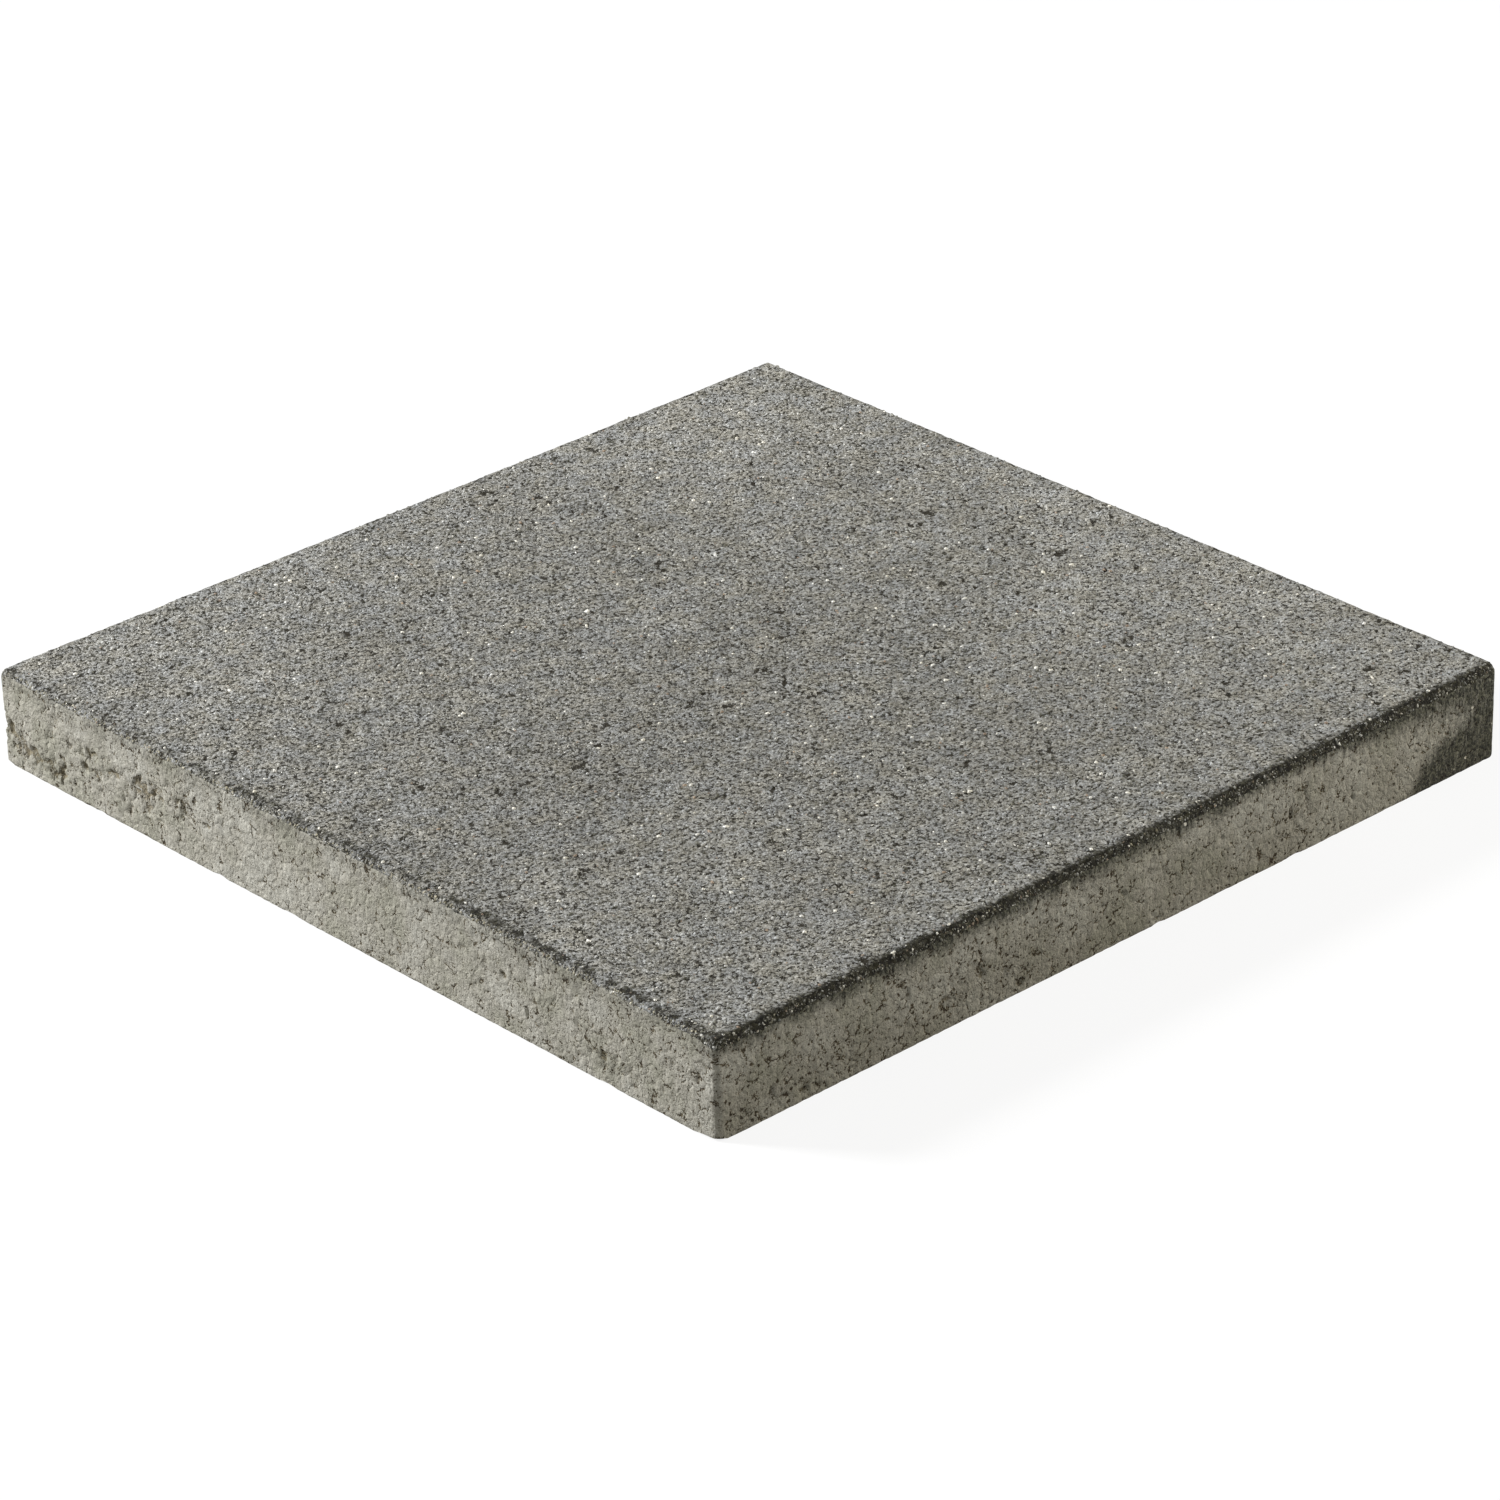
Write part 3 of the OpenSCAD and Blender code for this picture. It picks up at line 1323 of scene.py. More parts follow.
    def facing(self, flat: np.ndarray) -> np.ndarray:
        """How much of the side's skin is dark facing mix rather than beige body mix.

        Formula: a strength above a line that wanders round the slab, fading out below it, in
        patches on the left side; stations round the slab give the line's depth, the fade's
        height and the strength. Under the line of a slump of facing mix round the front right
        corner it is nearly 1.

        Args:
            flat: Place round the slab and depth of each point.

        Returns:
            Shares from 0 to 1.
        """
        along, down = flat[:, 0], flat[:, 1]
        side = self.outline.side
        line = along[:, None]
        fingers = 0.7 * smooth_noise(line, 1.7, SEED + 31) + smooth_noise(line, 6.5, SEED + 32)
        stations = [
            (0, 3.7, 4.0, 1.0),
            (12, 4.0, 5.5, 1.0),
            (side - 75, 4.2, 6.0, 1.0),
            (side - 25, 5.8, 15.0, 0.95),
            (side - 12, 11.0, 18.0, 0.9),
            (side, 20.0, 18.0, 0.85),
            (side + 40, 6.0, 10.0, 0.9),
            (2 * side, 3.6, 5.0, 0.9),
            (3 * side, 3.0, 5.0, 0.8),
            (3 * side + 12, 3.0, 7.5, 0.85),
            (4 * side - 30, 3.0, 7.5, 0.85),
            (4 * side - 6, 3.0, 6.0, 0.9),
            (4 * side, 3.7, 4.0, 1.0),
        ]
        at, *columns = zip(*stations)
        full, fade, strength = (np.interp(along, at, column) for column in columns)
        patchy = ramp(smooth_noise(flat * (1, 0.5), 4.5, SEED + 33), -0.6, 0.5)
        left = ramp(along, 3 * side, 3 * side + 8) * ramp(4 * side + 6 - along, 0, 12)
        strength = strength * (1 - 0.5 * left * (1 - patchy))
        full = full + 0.5 * fingers
        share = strength * (1 - np.clip((down - full) / (fade + 1.6 * fingers), 0, 1)) ** 1.2
        slump_at = [-60, -49, -41, -32, -26, -19, -12.5, -7, 0, 12, 27, 46]
        slump_down = [46, 40, 30, 25.6, 22, 19.5, 14.5, 8.0, 5.0, 12, 27, 44]
        slump = np.interp(along - side, slump_at, slump_down, left=99, right=99)
        slump += 2.0 * smooth_noise(flat, 7.0, SEED + 34) + 0.7 * smooth_noise(flat, 1.8, SEED + 35)
        return np.maximum(share, 0.95 * ramp(down, slump - 6.0, slump + 5.0))

    def foot(self) -> np.ndarray:
        """How far each column's foot is chipped up from the underside.

        Formula: a fine noise, cut off below 0, and a few chips, each with its place round the
        slab, half its width and its height, which falls with the square of the distance.

        Returns:
            Heights, in millimetres.
        """
        along = self.outline.along
        height = 0.12 * np.clip(smooth_noise(along[:, None], 2.4, SEED + 51), 0, 1)
        left = self.place_of(Face.LEFT, 0)
        chips = [(0, 5, 1.5), (self.outline.girth, 12, 1.5), (left, 6, 1.4)]
        chips += [(self.place_of(Face.RIGHT, 0), 3, 0.8), (left + 344, 5, 0.6), (left + 131, 4, 0.9)]
        chips += [(288, 4, 0.7), (216, 3, 0.6), (left + 172, 5, 0.7), (left + 60, 3, 0.6)]
        for middle, half, high in chips:
            apart = np.abs(along - middle) / half
            height = np.maximum(height, 0.7 * high * np.clip(1 - apart**2, 0, 1))
        return height

    def rings(self) -> tuple[np.ndarray, np.ndarray, np.ndarray]:
        """The lip and the sides as rings of columns, from behind the lip to the underside.

        Formula: the lip's section, each point with its inset and its depth below the crest,
        rises from behind the facing, over the crest and down to the side; below it the rings are
        evenly spaced, and every point in sight is set in by the skin's slight waves and by the
        voids. The last ring is the foot's small bevel.

        Returns:
            Points as ring by column by 3, how deep each lies in a void, and each one's place
            round the slab and depth.
        """
        wander, broken, reach = self.outline.hem()
        crest = reach + 0.5 * wander + 0.6 * broken
        lip_section = [(2.6, 2.6), (1.6, 1.0), (0.95, 0.35), (0.55, 0.0), (0.15, 0.6)]
        inset = [np.full_like(crest, base) for base, _ in lip_section]
        down = [crest + above for _, above in lip_section]
        foot = self.foot()
        top, last = down[-1], self.thickness - self.foot_bevel - foot
        for step in np.linspace(0, 1, self.side_rows + 1)[1:]:
            inset.append(np.zeros_like(crest))
            down.append(top * (1 - step) + last * step)
        inset.append(self.foot_bevel / 2 + 0.5 * foot)
        down.append(self.thickness - foot)
        inset, down = np.array(inset), np.array(down)
        along = np.broadcast_to(self.outline.along, inset.shape)
        flat = np.stack([along.ravel(), down.ravel()], 1)
        voids = self.voids(flat).reshape(inset.shape)
        skin = 0.06 * (1 + smooth_noise(flat, 7.0, SEED + 41))
        skin += 0.05 * (1 + smooth_noise(flat, 1.9, SEED + 42))
        skin = skin.reshape(inset.shape)
        behind_lip = slice(0, 3)
        skin[behind_lip] = 0
        voids[behind_lip] = 0
        points = self.outline.ring(inset + voids + skin, down, self.thickness)
        return points, voids, flat

    def build(self) -> bpy.types.Object:
        """Builds the closed mesh of the body: the sides, the underside and a hidden upper cap.

        The mesh stores the depth of its voids as "hollow", the skin's "open" and "facing", the
        painted shade at the foot of the front side, and the facing's strength by side, which is
        partly painted shade.

        Returns:
            The dressed object.
        """
        rings, voids, flat = self.rings()
        count, columns = rings.shape[:2]
        bands = np.arange(count * columns).reshape(count, columns)
        first = bands.size
        cap = self.outline.cap
        upper = cap(self.hidden_cells, self.hidden_inset, bands[0], first, below=False)
        first += len(upper[0])
        lower = cap(self.base_cells, self.base_inset, bands[-1], first, below=True)
        level = np.full((len(upper[0]), 1), self.thickness - self.hidden_down)
        rise = self.base_rise * np.clip(smooth_noise(lower[0], 25.0, SEED + 61), 0, 1)
        top = np.concatenate([upper[0], level], 1)
        base = np.concatenate([lower[0], rise[:, None]], 1)
        points = np.concatenate([rings.reshape(-1, 3), top, base])
        faces = [walls(bands), upper[1], lower[1], upper[2], lower[2]]
        mesh = bpy.data.meshes.new("cast_body")
        write_mesh(mesh, points, faces)
        slot = [0, 0, 1, 0, 1]
        slots = np.concatenate([np.full(len(f), s, np.int32) for f, s in zip(faces, slot)])
        mesh.polygons.foreach_set("material_index", slots)
        mesh.polygons.foreach_set("use_smooth", np.ones(len(slots), bool))
        rest = np.zeros(len(top) + len(base))
        on_sides = {
            "hollow": np.clip(voids.ravel() / self.full_void, 0, 1),
            "open": self.openness(flat),
            "damp": self.dampness(flat),
            "facing": self.facing(flat),
            "veil_and_shade": np.tile(self.outline.by_side(*self.veil_and_shade), count),
        }
        for name, values in on_sides.items():
            write_attribute(mesh, name, np.concatenate([values, rest]))
        self.write_bake_map(mesh, points, bands, faces)
        mesh.set_sharp_from_angle(angle=math.radians(50))
        mesh.materials.append(FormedSide().material())
        mesh.materials.append(PalletFace().material())
        return place_piece("cast_body", mesh)

    def write_bake_map(
        self, mesh: bpy.types.Mesh, points: np.ndarray, bands: np.ndarray, faces: list[np.ndarray]
    ) -> None:
        """Lays the surface out flat for a bake.

        Formula: the four sides are strips one above the other, as long as the map is wide; the
        underside takes a square above them at the scale that is left, and the hidden cap a
        small one beside it.

        Args:
            mesh: The mesh that gets the map.
            points: Every point of the mesh.
            bands: Point numbers by ring and column, from the top down.
            faces: Corner numbers of the sides, the upper cap, the underside and their joins.
        """
        drop = way_down(points, bands)
        gap, hidden_scale, side = 0.004, 0.2, self.outline.side
        scale = (1 - 2 * gap) / side
        run = (self.outline.lines_x + side / 2) * scale + gap
        strip = drop[-1] * scale + gap
        walls_uv = []
        for number in range(4):
            across = gap + number * strip + (drop[-1] - drop[:, None]) * scale
            along, across = np.broadcast_arrays(run[None], across)
            pair = np.stack([along, across], -1)
            walls_uv.append(
                np.stack([pair[:-1, :-1], pair[1:, :-1], pair[1:, 1:], pair[:-1, 1:]], 2)
            )
        walls_uv = np.concatenate(walls_uv, axis=1)
        above = gap + 4 * strip
        room = 1 - gap - above
        centred = points[:, :2] / side + 0.5
        base = centred * room + (gap, above)
        hidden = centred * hidden_scale + (room + 4 * gap, above)
        loops = [walls_uv.reshape(-1, 2), hidden[faces[1].ravel()], base[faces[2].ravel()]]
        loops += [hidden[faces[3].ravel()], base[faces[4].ravel()]]
        write_map(mesh, np.concatenate(loops))


# ---------------------------------------------------------------- the grains


@dataclass(frozen=True)
class Grains:
    """Where a number of grains lie: their middles, upward directions, radii, tones and kinds."""

    centres: np.ndarray
    ups: np.ndarray
    sizes: np.ndarray
    tones: np.ndarray
    kinds: np.ndarray

    def chosen(self, which: np.ndarray) -> Grains:
        """Some of the grains."""
        parts = (self.centres, self.ups, self.sizes, self.tones, self.kinds)
        return Grains(*[part[which] for part in parts])


@dataclass(frozen=True)
class GrainForm:
    """The shape of a grain: rings of corners, each at a height and a radius.

    With `pointed`, the second and third rings are one point each, below and above the first;
    otherwise the rings stand in order from below, and the ends are flat. The other numbers say
    how far the corners stray at random from that.
    """

    rings: tuple[tuple[float, float], ...]
    pointed: bool = False
    sides: int = 4
    crook: float = 0.34
    lean: float = 0.3
    turn: float = 1.2
    heave: float = 0.4
    stretch: tuple[float, float] = (0.95, 1.3)


class Form(Enum):
    """The two shapes: a broken block, and a small splinter between two points."""

    BLOCK = GrainForm(((-0.6, 1.0), (0.42, 0.62)))
    SPLINTER = GrainForm(((0.0, 1.0), (-0.6, 0.0), (0.5, 0.35)), pointed=True)


@dataclass
class GrainBed:
    """Grains of one stone and one form, joined in one mesh. Each corner is moved at random."""

    finish: GrainFinish
    name: str
    form: GrainForm

    def corners(self, rng: np.random.Generator, grains: Grains) -> np.ndarray:
        """Corners of every grain.

        Formula: corner k of a ring stands at an even share of the turn plus a random turn, at the
        ring's radius times the grain's and a random stretch, and at the ring's height times the
        grain's radius; all lean at random from the upward direction.

        Args:
            rng: The random source.
            grains: The grains.

        Returns:
            Points as grain by corner by 3.
        """
        form = self.form
        count, sides = len(grains.sizes), form.sides
        tilted = grains.ups + rng.normal(0, form.lean, grains.ups.shape)
        tilted /= np.linalg.norm(tilted, axis=1)[:, None]
        spin = rng.uniform(0, 2 * np.pi, count)
        across = np.cross(tilted, np.stack([np.cos(spin), np.sin(spin), np.full(count, 0.3)], 1))
        across /= np.linalg.norm(across, axis=1)[:, None]
        ahead = np.cross(tilted, across)
        stretch = rng.uniform(*form.stretch, (count, 1))
        turn = 2 * np.pi * np.arange(sides) / sides
        size = grains.sizes[:, None]
        rings = []
        for level, radius in form.rings:
            angle = turn + rng.uniform(-form.turn, form.turn, (count, sides)) / sides
            out = radius * size * (1 + rng.uniform(-form.crook, form.crook, (count, sides)))
            height = level * size * (1 + rng.uniform(-form.heave, form.heave, (count, sides)))
            ring = (out * np.cos(angle) * stretch)[..., None] * across[:, None]
            ring = ring + (out * np.sin(angle) / stretch)[..., None] * ahead[:, None]
            ring = ring + height[..., None] * tilted[:, None]
            rings.append(ring[:, :1] if form.pointed and rings else ring)
        return grains.centres[:, None] + np.concatenate(rings, 1)

    def build(self, rng: np.random.Generator, grains: Grains, limit: np.ndarray) -> bpy.types.Object:
        """Builds the joined mesh of the grains.

        Args:
            rng: The random source.
            grains: The grains.
            limit: Largest X, Y and Z that a corner may have.

        Returns:
            The dressed object.
        """
        corners = np.clip(self.corners(rng, grains), -limit, limit)
        count, each = corners.shape[:2]
        first = np.arange(count)[:, None, None] * each
        faces = [(first + pattern).reshape(-1, pattern.shape[1]) for pattern in self.pattern()]
        mesh = bpy.data.meshes.new(self.name)
        write_mesh(mesh, corners.reshape(-1, 3), faces)
        write_attribute(mesh, "tone", np.repeat(grains.tones, each))
        write_map(mesh, self.bake_map(count, faces))
        mesh.materials.append(self.finish.material())
        return place_piece(self.name, mesh)

    def pattern(self) -> list[np.ndarray]:
        """Lists the faces of one grain.

        Returns:
            Arrays of corner numbers, turning outwards, each of one number of corners to a face.
        """
        sides = self.form.sides
        step = np.arange(sides)
        after = (step + 1) % sides
        if self.form.pointed:
            below, above = np.full(sides, sides), np.full(sides, sides + 1)
            flanks = [np.stack([step, after, above], 1), np.stack([after, step, below], 1)]
            return [np.concatenate(flanks)]
        band = np.stack([step, after, after + sides, step + sides], 1)
        bands = len(self.form.rings) - 1
        flanks = np.concatenate([band + number * sides for number in range(bands)])
        return [flanks, np.array([step + bands * sides, step[::-1]])]

    def bake_map(self, count: int, faces: list[np.ndarray]) -> np.ndarray:
        """A square of the bake map for each grain, seen from above.

        Formula: grain n takes cell n of a square grid; its lowest ring lies on a circle and each
        ring above it on a smaller one, and a splinter's points lie in the middle of its ring.

        Args:
            count: Number of grains.
            faces: Corner numbers of all the faces.

        Returns:
            One row of U and V a corner.
        """
        across = math.ceil(math.sqrt(count))
        number = np.arange(count)
        middle = np.stack([number % across, number // across], 1) + 0.5
        turn = 2 * np.pi * np.arange(self.form.sides) / self.form.sides
        circle = np.stack([np.cos(turn), np.sin(turn)], 1)
        widest, smallest = 0.42, 0.2
        if self.form.pointed:
            cell = np.concatenate([circle * widest, np.zeros((2, 2))])
        else:
            radii = np.linspace(widest, smallest, len(self.form.rings))
            cell = np.concatenate([circle * radius for radius in radii])
        places = (middle[:, None] + cell).reshape(-1, 2) / across
        return np.concatenate([places[corners.ravel()] for corners in faces])


@dataclass
class FacingGrains:
    """All the grains that show in the blasted facing, strewn and shared out by mineral."""

    face: BlastedFace
    spacing: float = 1.5
    margin: float = 1.9
    radius: tuple[float, float] = (0.34, 1.12)
    quartz_size: float = 1.3
    sunk_rim: float = 5.0
    arris_count: int = 6500
    arris_rows: float = 2.9
    arris_radius: tuple[float, float] = (0.25, 0.9)
    per_piece: int = 16_000
    splinter_below: float = 0.68
    # Shares of the minerals, in their order, on a clean top and in the arris, whose darker mix
    # stands for its dust and painted shade
    on_top: tuple[float, ...] = (0.145, 0.55, 0.287, 0.008, 0.01, 0.0)
    on_arris: tuple[float, ...] = (0.44, 0.26, 0.2, 0.06, 0.04, 0.0)
    # On the arris by side, front, right, back and left: share of body sand, and how far the
    # grains are sunk as a share of their radius
    sandy: tuple[float, ...] = (0.05, 0.05, 0.05, 0.45)
    sunk: tuple[float, ...] = (0.35, 0.75, 0.95, 0.25)

    def tones(self, rng: np.random.Generator, centres: np.ndarray) -> np.ndarray:
        """Tone of each grain from 0, dark, to 1, light: the ground's own, with its painted light and
        shade, and a random part.
        """
        return np.clip(self.face.tone(centres) + rng.normal(0, 0.25, len(centres)), 0, 1)

    def top(self, rng: np.random.Generator) -> Grains:
        """Grains of the wearing face.

        Formula: one grain to each cell of a square grid, at a random place in it, bedded at the
        depth of the mortar, deeper in the outer rim, and none in the pits. The dust and painted
        shade give the share of grains that take the arris's darker mixture.

        Args:
            rng: The random source.

        Returns:
            The grains.
        """
        outline = self.face.outline
        half = np.array([outline.length, outline.width]) / 2 - self.margin
        across = np.round(2 * half / self.spacing).astype(int)
        cells = np.stack(np.meshgrid(*[np.arange(n) for n in across], indexing="ij"), -1)
        flat = cells.reshape(-1, 2) + rng.uniform(0.02, 0.98, (across.prod(), 2))
        flat = flat / across * 2 * half - half
        flat = flat[self.face.pits(flat) < 0.3]
        low, high = self.radius
        sizes = low + (high - low) * rng.beta(1.2, 3.2, len(flat))
        kinds = rng.choice(len(Mineral), len(flat), p=self.on_top)
        dark = rng.choice(len(Mineral), len(flat), p=self.on_arris)
        # Near the arris the grains take the darker mix of its dust and painted shade
        kinds = np.where(rng.uniform(0, 0.9, len(flat)) < self.face.dust_and_shade(flat), dark, kinds)
        quartz = kinds == list(Mineral).index(Mineral.QUARTZ)
        sizes = np.where(quartz, self.quartz_size * sizes, sizes)
        lift = sizes * rng.uniform(-0.35, 0.3, len(flat))
        lift -= 0.6 * sizes * np.clip(1 - outline.edge_distance(flat) / self.sunk_rim, 0, 1)
        z = self.face.thickness - self.face.depth(flat) + lift
        centres = np.concatenate([flat, z[:, None]], 1)
        ups = np.tile([0.0, 0.0, 1.0], (len(flat), 1))
        return Grains(centres, ups, sizes, self.tones(rng, centres), kinds)

    def arris(self, rng: np.random.Generator) -> Grains:
        """Small grains along the blasted arris, from the wearing face down to the lip.

        Formula: random places between neighbouring columns and rings of the arris, sunk by a
        share of the radius that goes by side; the darker the more dust and painted shade there
        is, and in part sand of the body mix, most of all on the left.

        Args:
            rng: The random source.

        Returns:
            The grains.
        """
        rings, count = self.face.arris(), self.arris_count
        columns = rings.shape[1]
        column, row = rng.uniform(0, columns, count), rng.uniform(0, self.arris_rows, count)
        near, part = np.floor(column).astype(int), (column % 1)[:, None]
        after = (near + 1) % columns
        level, share = np.floor(row).astype(int), (row % 1)[:, None]
        upper = rings[level, near] * (1 - part) + rings[level, after] * part
        lower = rings[level + 1, near] * (1 - part) + rings[level + 1, after] * part
        centres = upper * (1 - share) + lower * share
        outward = self.face.outline.outward[near]
        ups = np.concatenate([0.7 * outward, np.full((count, 1), 0.7)], 1)
        by_side = self.face.outline.by_side
        dust_and_shade_share = by_side(*self.face.dust_and_shade_share)[near]
        kinds = rng.choice(len(Mineral), count, p=self.on_arris)
        plain = rng.choice(len(Mineral), count, p=self.on_top)
        kinds = np.where(rng.uniform(0, 1, count) < dust_and_shade_share, kinds, plain)
        sandy = np.random.default_rng(SEED + 7).uniform(0, 1, count) < by_side(*self.sandy)[near]
        kinds = np.where(sandy, list(Mineral).index(Mineral.BODY_SAND), kinds)
        low, high = self.arris_radius
        sizes = low + (high - low) * rng.beta(1.2, 2.0, count)
        # Dust and painted shade: arris grains are darker where the share is high
        tones = rng.beta(0.9, 1.6, count) * (1.2 - 0.3 * dust_and_shade_share)
        sunk = by_side(*self.sunk)[near] * sizes
        sunk *= rng.uniform(0.2, 1.8, count)
        return Grains(centres - sunk[:, None] * ups, ups, sizes, tones, kinds)

    def build(self) -> list[bpy.types.Object]:
        """Builds the joined pieces of each mineral, splinters and blocks apart.

        Returns:
            The pieces.
        """
        rng = np.random.default_rng(SEED)
        top, arris = self.top(rng), self.arris(rng)
        names = ("centres", "ups", "sizes", "tones", "kinds")
        grains = Grains(*[np.concatenate([getattr(g, n) for g in (top, arris)]) for n in names])
        outline = self.face.outline
        limit = np.array([outline.length / 2, outline.width / 2, self.face.thickness])
        made = []
        for number, mineral in enumerate(Mineral):
            for form, word in ((Form.SPLINTER, "splinters"), (Form.BLOCK, "grains")):
                small = (grains.sizes < self.splinter_below) == form.value.pointed
                chosen = np.flatnonzero((grains.kinds == number) & small)
                parts = max(1, math.ceil(len(chosen) / self.per_piece))
                for part, group in enumerate(np.array_split(chosen, parts)):
                    name = f"{mineral.name.lower()}_{word}" + (f"_{part + 1}" if parts > 1 else "")
                    bed = GrainBed(mineral.value, name, form.value)
                    made.append(bed.build(rng, grains.chosen(group), limit))
                    log.info("%s: %d grains", name, len(group))
        return made


# ---------------------------------------------------------------- studio


@dataclass(frozen=True)
class SoftLight:
    """A square soft light. Its strength is the light it gives 1 m away, where pi is white."""

    name: str
    place: tuple[float, float, float]
    strength: float
    size: float
    colour: tuple[float, float, float] = (1.0, 1.0, 1.0)

    def add(self) -> None:
        """Adds the lamp, turned to the slab."""
        lamp = bpy.data.lights.new(self.name, "AREA")
        lamp.energy = math.pi**2 * self.strength
        lamp.size = self.size
        lamp.color = self.colour
        light = bpy.data.objects.new(self.name, lamp)
        bpy.context.scene.collection.objects.link(light)
        light.location = self.place
        light.rotation_euler = Vector(self.place).to_track_quat("Z", "Y").to_euler()


@dataclass
class Studio:
    """Plain pale floor, three soft lights under an even sky, and the camera."""

    top: float
    azimuth: float = -42.398
    elevation: float = 27.5
    roll: float = -1.414
    distance: float = 2.3485
    aim_right: float = 0.0022
    aim_up: float = -0.0326
    lens: float = 149.77
    sensor: float = 36.0
    sky: float = 0.24
    floor_half: float = 8000.0
    floor_bounce: str = "#6F6C63"
    floor_glow: float = 0.85
    lights: tuple[SoftLight, ...] = (
        SoftLight("key", (-1.27, 1.49, 1.1), 8.18, 0.5, (0.97, 0.977, 1.0)),
        SoftLight("fill", (1.26, -0.86, 0.6), 1.85, 0.35, (1.0, 0.96, 0.88)),
        SoftLight("front", (-0.95, -0.95, 0.5), 0.3, 1.0, (1.0, 1.0, 0.96)),
    )

    def add_camera(self) -> None:
        """Sets the camera by its angle, its distance and the point it looks at."""
        turn, rise = math.radians(self.azimuth), math.radians(self.elevation)
        level = Vector((math.cos(turn), math.sin(turn), 0))
        back = Vector((math.sin(turn), -math.cos(turn), 0)) * math.cos(rise)
        back += Vector((0, 0, math.sin(rise)))
        upward = back.cross(level)
        lean = math.radians(self.roll)
        right = math.cos(lean) * level + math.sin(lean) * upward
        upright = -math.sin(lean) * level + math.cos(lean) * upward
        aim = Vector((0, 0, self.top)) + self.aim_right * right + self.aim_up * upright
        data = bpy.data.cameras.new("camera")
        data.lens, data.sensor_width = self.lens, self.sensor
        camera = bpy.data.objects.new("camera", data)
        bpy.context.scene.collection.objects.link(camera)
        turned = Matrix((right, upright, back)).transposed().to_4x4()
        camera.matrix_world = Matrix.Translation(aim + self.distance * back) @ turned
        bpy.context.scene.camera = camera

    def seen(self, tree: Tree) -> Socket:
        """Tells the rays that the camera sees from those that only light the slab.

        Args:
            tree: The node tree that asks.

        Returns:
            1 for what the camera sees straight, by gloss or through glass, and 0 otherwise.
        """
        rays = put(tree, "LightPath")
        draw = Pattern(tree)
        seen = draw.math("MAXIMUM", rays.outputs["Is Camera Ray"], rays.outputs["Is Glossy Ray"])
        return draw.math("MAXIMUM", seen, rays.outputs["Is Transmission Ray"])

    def add_sky(self) -> None:
        """An even sky that shows white behind the slab."""
        world = bpy.data.worlds.new("studio")
        world.use_nodes = True
        tree = world.node_tree
        tree.nodes.clear()
        strength = Pattern(tree).spread(self.seen(tree), 0, 1, self.sky, 1.0)
        sky = put(tree, "Background", {"Color": (1, 1, 1, 1), "Strength": strength})
        put(tree, "OutputWorld", {"Surface": sky.outputs[0]})
        bpy.context.scene.world = world

    def add_floor(self) -> None:
        """A pale sheet, level with the slab's underside.

        Seen by the camera it is white but for the slab's shadow, softened by a glow of its own;
        the light that it throws back on the slab is that of a duller sheet.
        """
        half = self.floor_half
        points = np.array([[-half, -half, 0], [half, -half, 0], [half, half, 0], [-half, half, 0]])
        mesh = bpy.data.meshes.new("floor")
        write_mesh(mesh, points, [np.array([[0, 1, 2, 3]])])
        floor = bpy.data.objects.new("floor", mesh)
        bpy.context.scene.collection.objects.link(floor)
        material, tree = new_material("pale_paper_floor")
        draw, seen = Pattern(tree), self.seen(tree)
        colour = draw.blend(seen, linear(self.floor_bounce), linear(WHITE))
        lit = put(tree, "BsdfDiffuse", {"Color": colour})
        glow = put(tree, "Emission", {"Color": (1, 1, 1, 1), "Strength": 1.0})
        share = draw.math("MULTIPLY", seen, self.floor_glow)
        shader = put(tree, "MixShader", {0: share, 1: lit.outputs[0], 2: glow.outputs[0]})
        put(tree, "OutputMaterial", {"Surface": shader.outputs[0]})
        mesh.materials.append(material)

    def build(self) -> None:
        """Sets camera, lights, sky and floor, and the plain view transform."""
        self.add_camera()
        for light in self.lights:
            light.add()
        self.add_sky()
        self.add_floor()
        bpy.context.scene.view_settings.view_transform = "Standard"


# ---------------------------------------------------------------- the slab's own marks


def left_side_voids() -> list[Hollow]:
    """Voids of the left side, thick towards the far corner where the mix was driest.

    A mark gives place along the side, place down, width, height and depth.

    Returns:
        The voids.
    """
    marks = [
        (14.4, 5.2, 4, 2, 1.2), (5.6, 24, 5, 8, 2.4), (9, 31, 6, 4, 2.0), (20, 29, 6, 4, 2.4),
        (24, 34, 5, 3, 2.0), (31, 35, 6, 4, 3.0), (29, 30.6, 5, 3, 2.0), (37.5, 25.6, 4, 3.4, 1.6),
        (56, 17, 7, 4.6, 3.0), (51, 24, 7, 4, 3.0), (61, 24, 4, 3, 1.6), (69, 20.5, 8, 4, 3.0),
        (82, 18.5, 3.6, 5, 2.2), (83, 22.8, 6, 3.6, 2.6), (78, 33, 4, 4.4, 2.0),
        (89, 32.5, 4, 3, 1.4), (104, 13, 4.4, 3, 1.8), (105.6, 18.7, 6, 2.6, 1.8),
        (109, 23.7, 5, 3.4, 1.6), (124, 21.5, 7, 3, 2.0), (160.6, 11, 3, 2, 1.2),
        (183, 19, 7, 2.2, 1.4), (207, 19, 3.4, 3, 1.4), (227, 7.5, 6, 2.4, 1.2),
        (269, 15.6, 4.4, 2.4, 1.3), (276, 26, 3.4, 3.4, 1.6), (290, 18.4, 6, 5, 2.4),
        (302.5, 29, 3, 6, 1.8), (310, 29, 3, 4, 1.4), (329, 23, 4, 3, 1.4), (335.6, 30, 3, 3, 1.4),
        (351, 34, 3.4, 3.4, 1.4), (359, 33, 3, 4.6, 1.4), (377, 18, 4.4, 3.4, 1.4),
    ]
    voids = [Hollow(Face.LEFT, *mark) for mark in marks]
    voids.append(Hollow(Face.LEFT, 132.5, 14.5, 13, 11, 2.6, stone=0.85))
    voids.append(Hollow(Face.LEFT, 184, 15, 9, 6, 1.2, stone=0.85))
    return voids


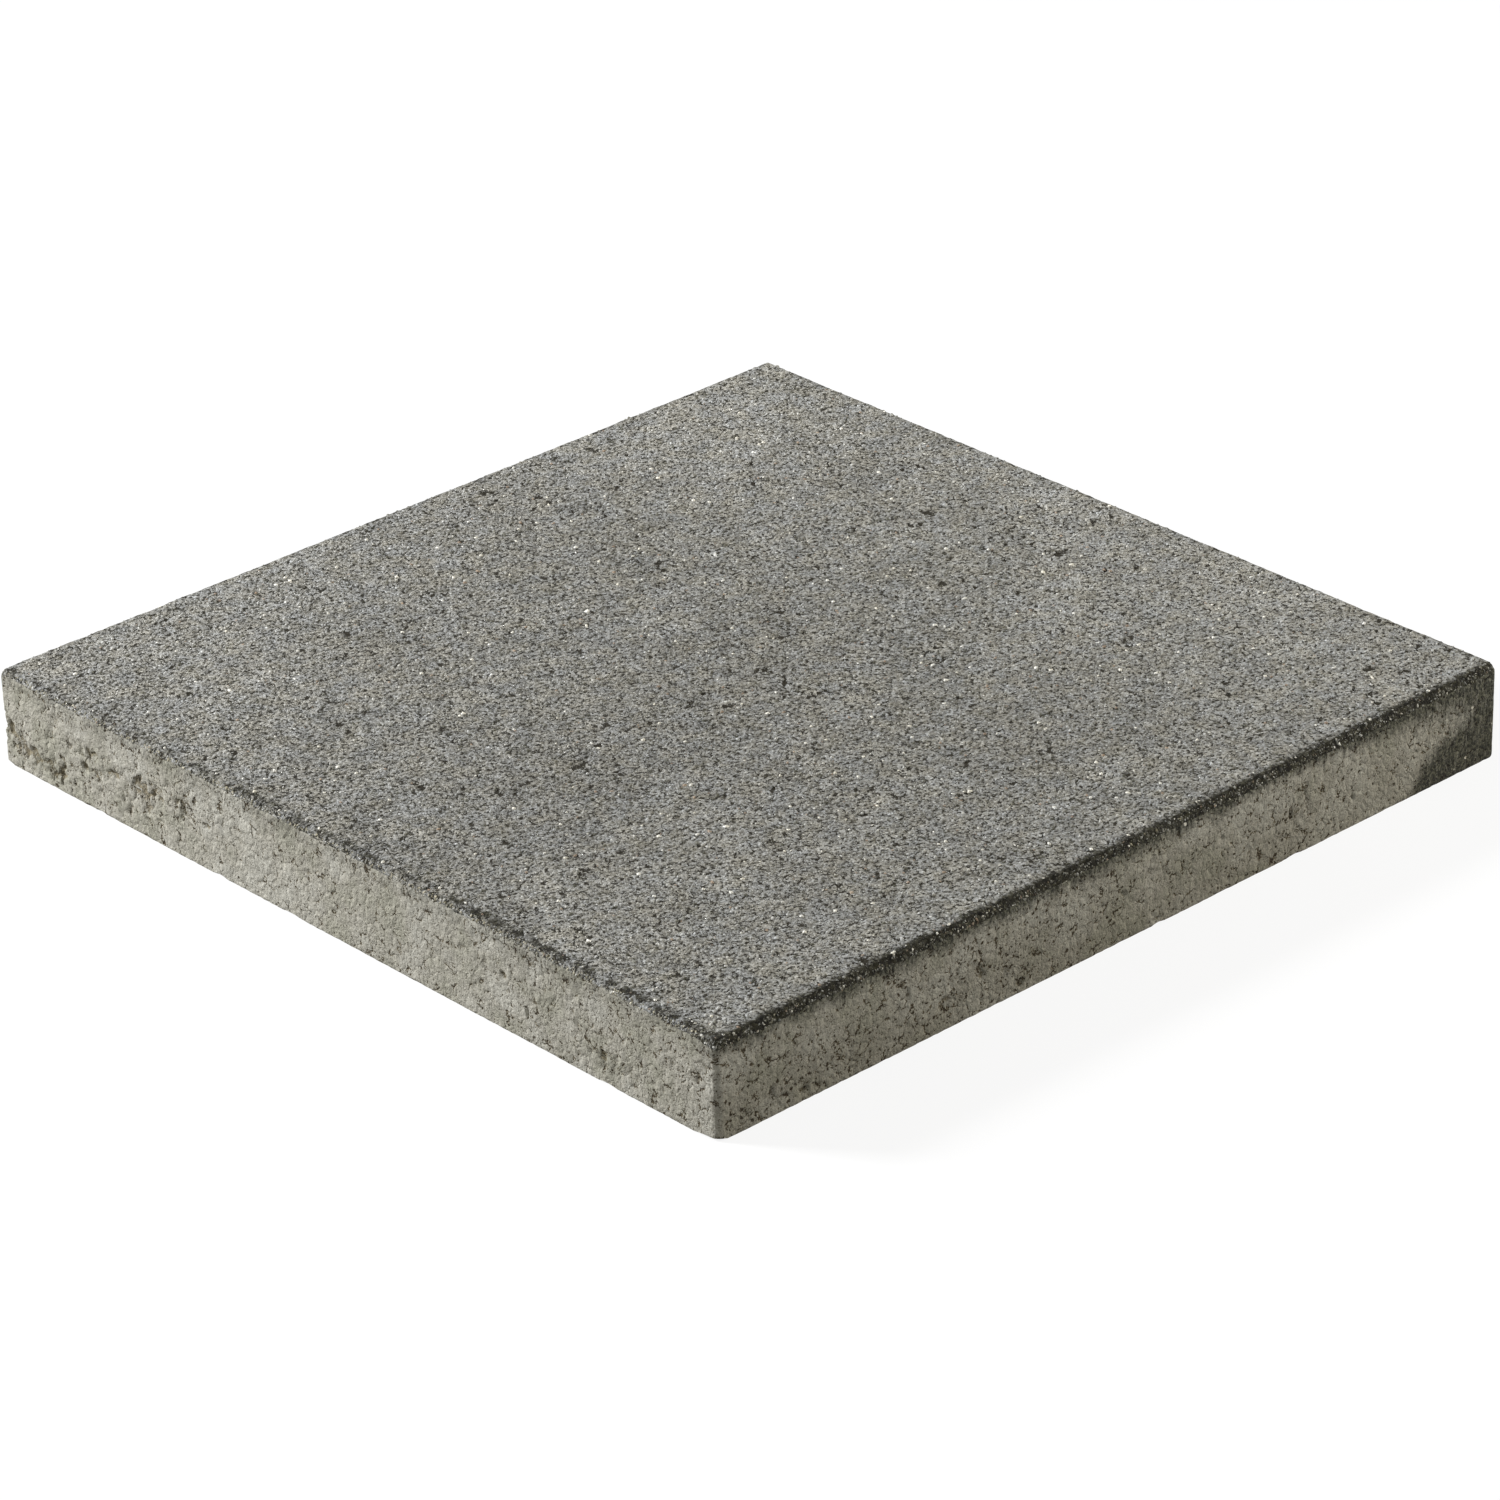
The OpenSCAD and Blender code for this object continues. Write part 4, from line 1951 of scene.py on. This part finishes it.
def front_side_voids() -> list[Hollow]:
    """Voids of the front side, fewer and smaller, marked in the same way.

    Returns:
        The voids.
    """
    marks = [
        (41, 35.6, 5, 3.4, 2.0), (26, 36, 3, 3, 1.4), (15, 37, 3, 2, 1.0), (90.6, 18.7, 3, 6, 1.8),
        (109, 28, 5, 4, 2.0), (127, 25.6, 5.4, 3.4, 2.2), (125, 22, 3, 3, 1.4),
        (145.6, 36, 4.4, 4, 1.8), (155, 20, 3, 3.4, 1.4), (186, 22, 5.4, 2.2, 1.5),
        (198, 21, 3.2, 3.2, 1.8), (219, 8.2, 4, 2.4, 1.2), (219.4, 19.4, 3, 3, 1.4),
        (216, 38, 6, 2, 1.6), (249, 18, 3, 3, 1.4), (286, 22, 2.6, 7, 1.6), (293.7, 29, 3, 3, 1.2),
        (319.4, 27, 3.6, 5, 1.8), (333.7, 15.6, 4, 3, 1.4), (355, 22.5, 4, 3.2, 1.4),
    ]
    return [Hollow(Face.FRONT, *mark) for mark in marks]


def dry_stretches() -> list[DryZone]:
    """Where the sides are honeycombed: most of all at the far end of the left side.

    A zone gives place along the side, place down, half its length, half its height and share.

    Returns:
        The zones.
    """
    left = [
        (4, 26, 16, 18, 0.75), (28, 33, 26, 12, 0.78), (58, 22, 24, 12, 0.75),
        (84, 22, 20, 15, 0.75), (112, 20, 26, 14, 0.7), (136, 16, 16, 12, 0.65),
        (60, 26, 110, 24, 0.5), (290, 18, 16, 12, 0.55), (352, 32, 34, 10, 0.55),
        (388, 20, 20, 18, 0.5),
    ]
    front = [(120, 27, 32, 12, 0.55), (40, 34, 34, 11, 0.55), (286, 24, 28, 14, 0.5)]
    zones = [DryZone(Face.LEFT, *zone) for zone in left]
    return zones + [DryZone(Face.FRONT, *zone) for zone in front]


def main() -> None:
    """Builds the slab's body, its facing and its grains, and the studio."""
    logging.basicConfig(level=logging.INFO, format="%(name)s: %(message)s")
    low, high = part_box(NODE)
    length, width, thickness = (np.array(high) - np.array(low)) / MM
    Studio(top=high[2]).build()
    fine = Outline(length, width, CORNER_RADIUS, cells=480)
    voids = left_side_voids() + front_side_voids()
    body = CastBody(fine, thickness, voids, dry_stretches()).build()
    log.info("%s: %d faces", body.name, len(body.data.polygons))
    coarse = Outline(length, width, CORNER_RADIUS, cells=260)
    face = BlastedFace(coarse, thickness)
    facing = face.build()
    log.info("%s: %d faces", facing.name, len(facing.data.polygons))
    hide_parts(NODE)
    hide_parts(NODE)
    FacingGrains(face).build()


if __name__ == "__main__":
    main()
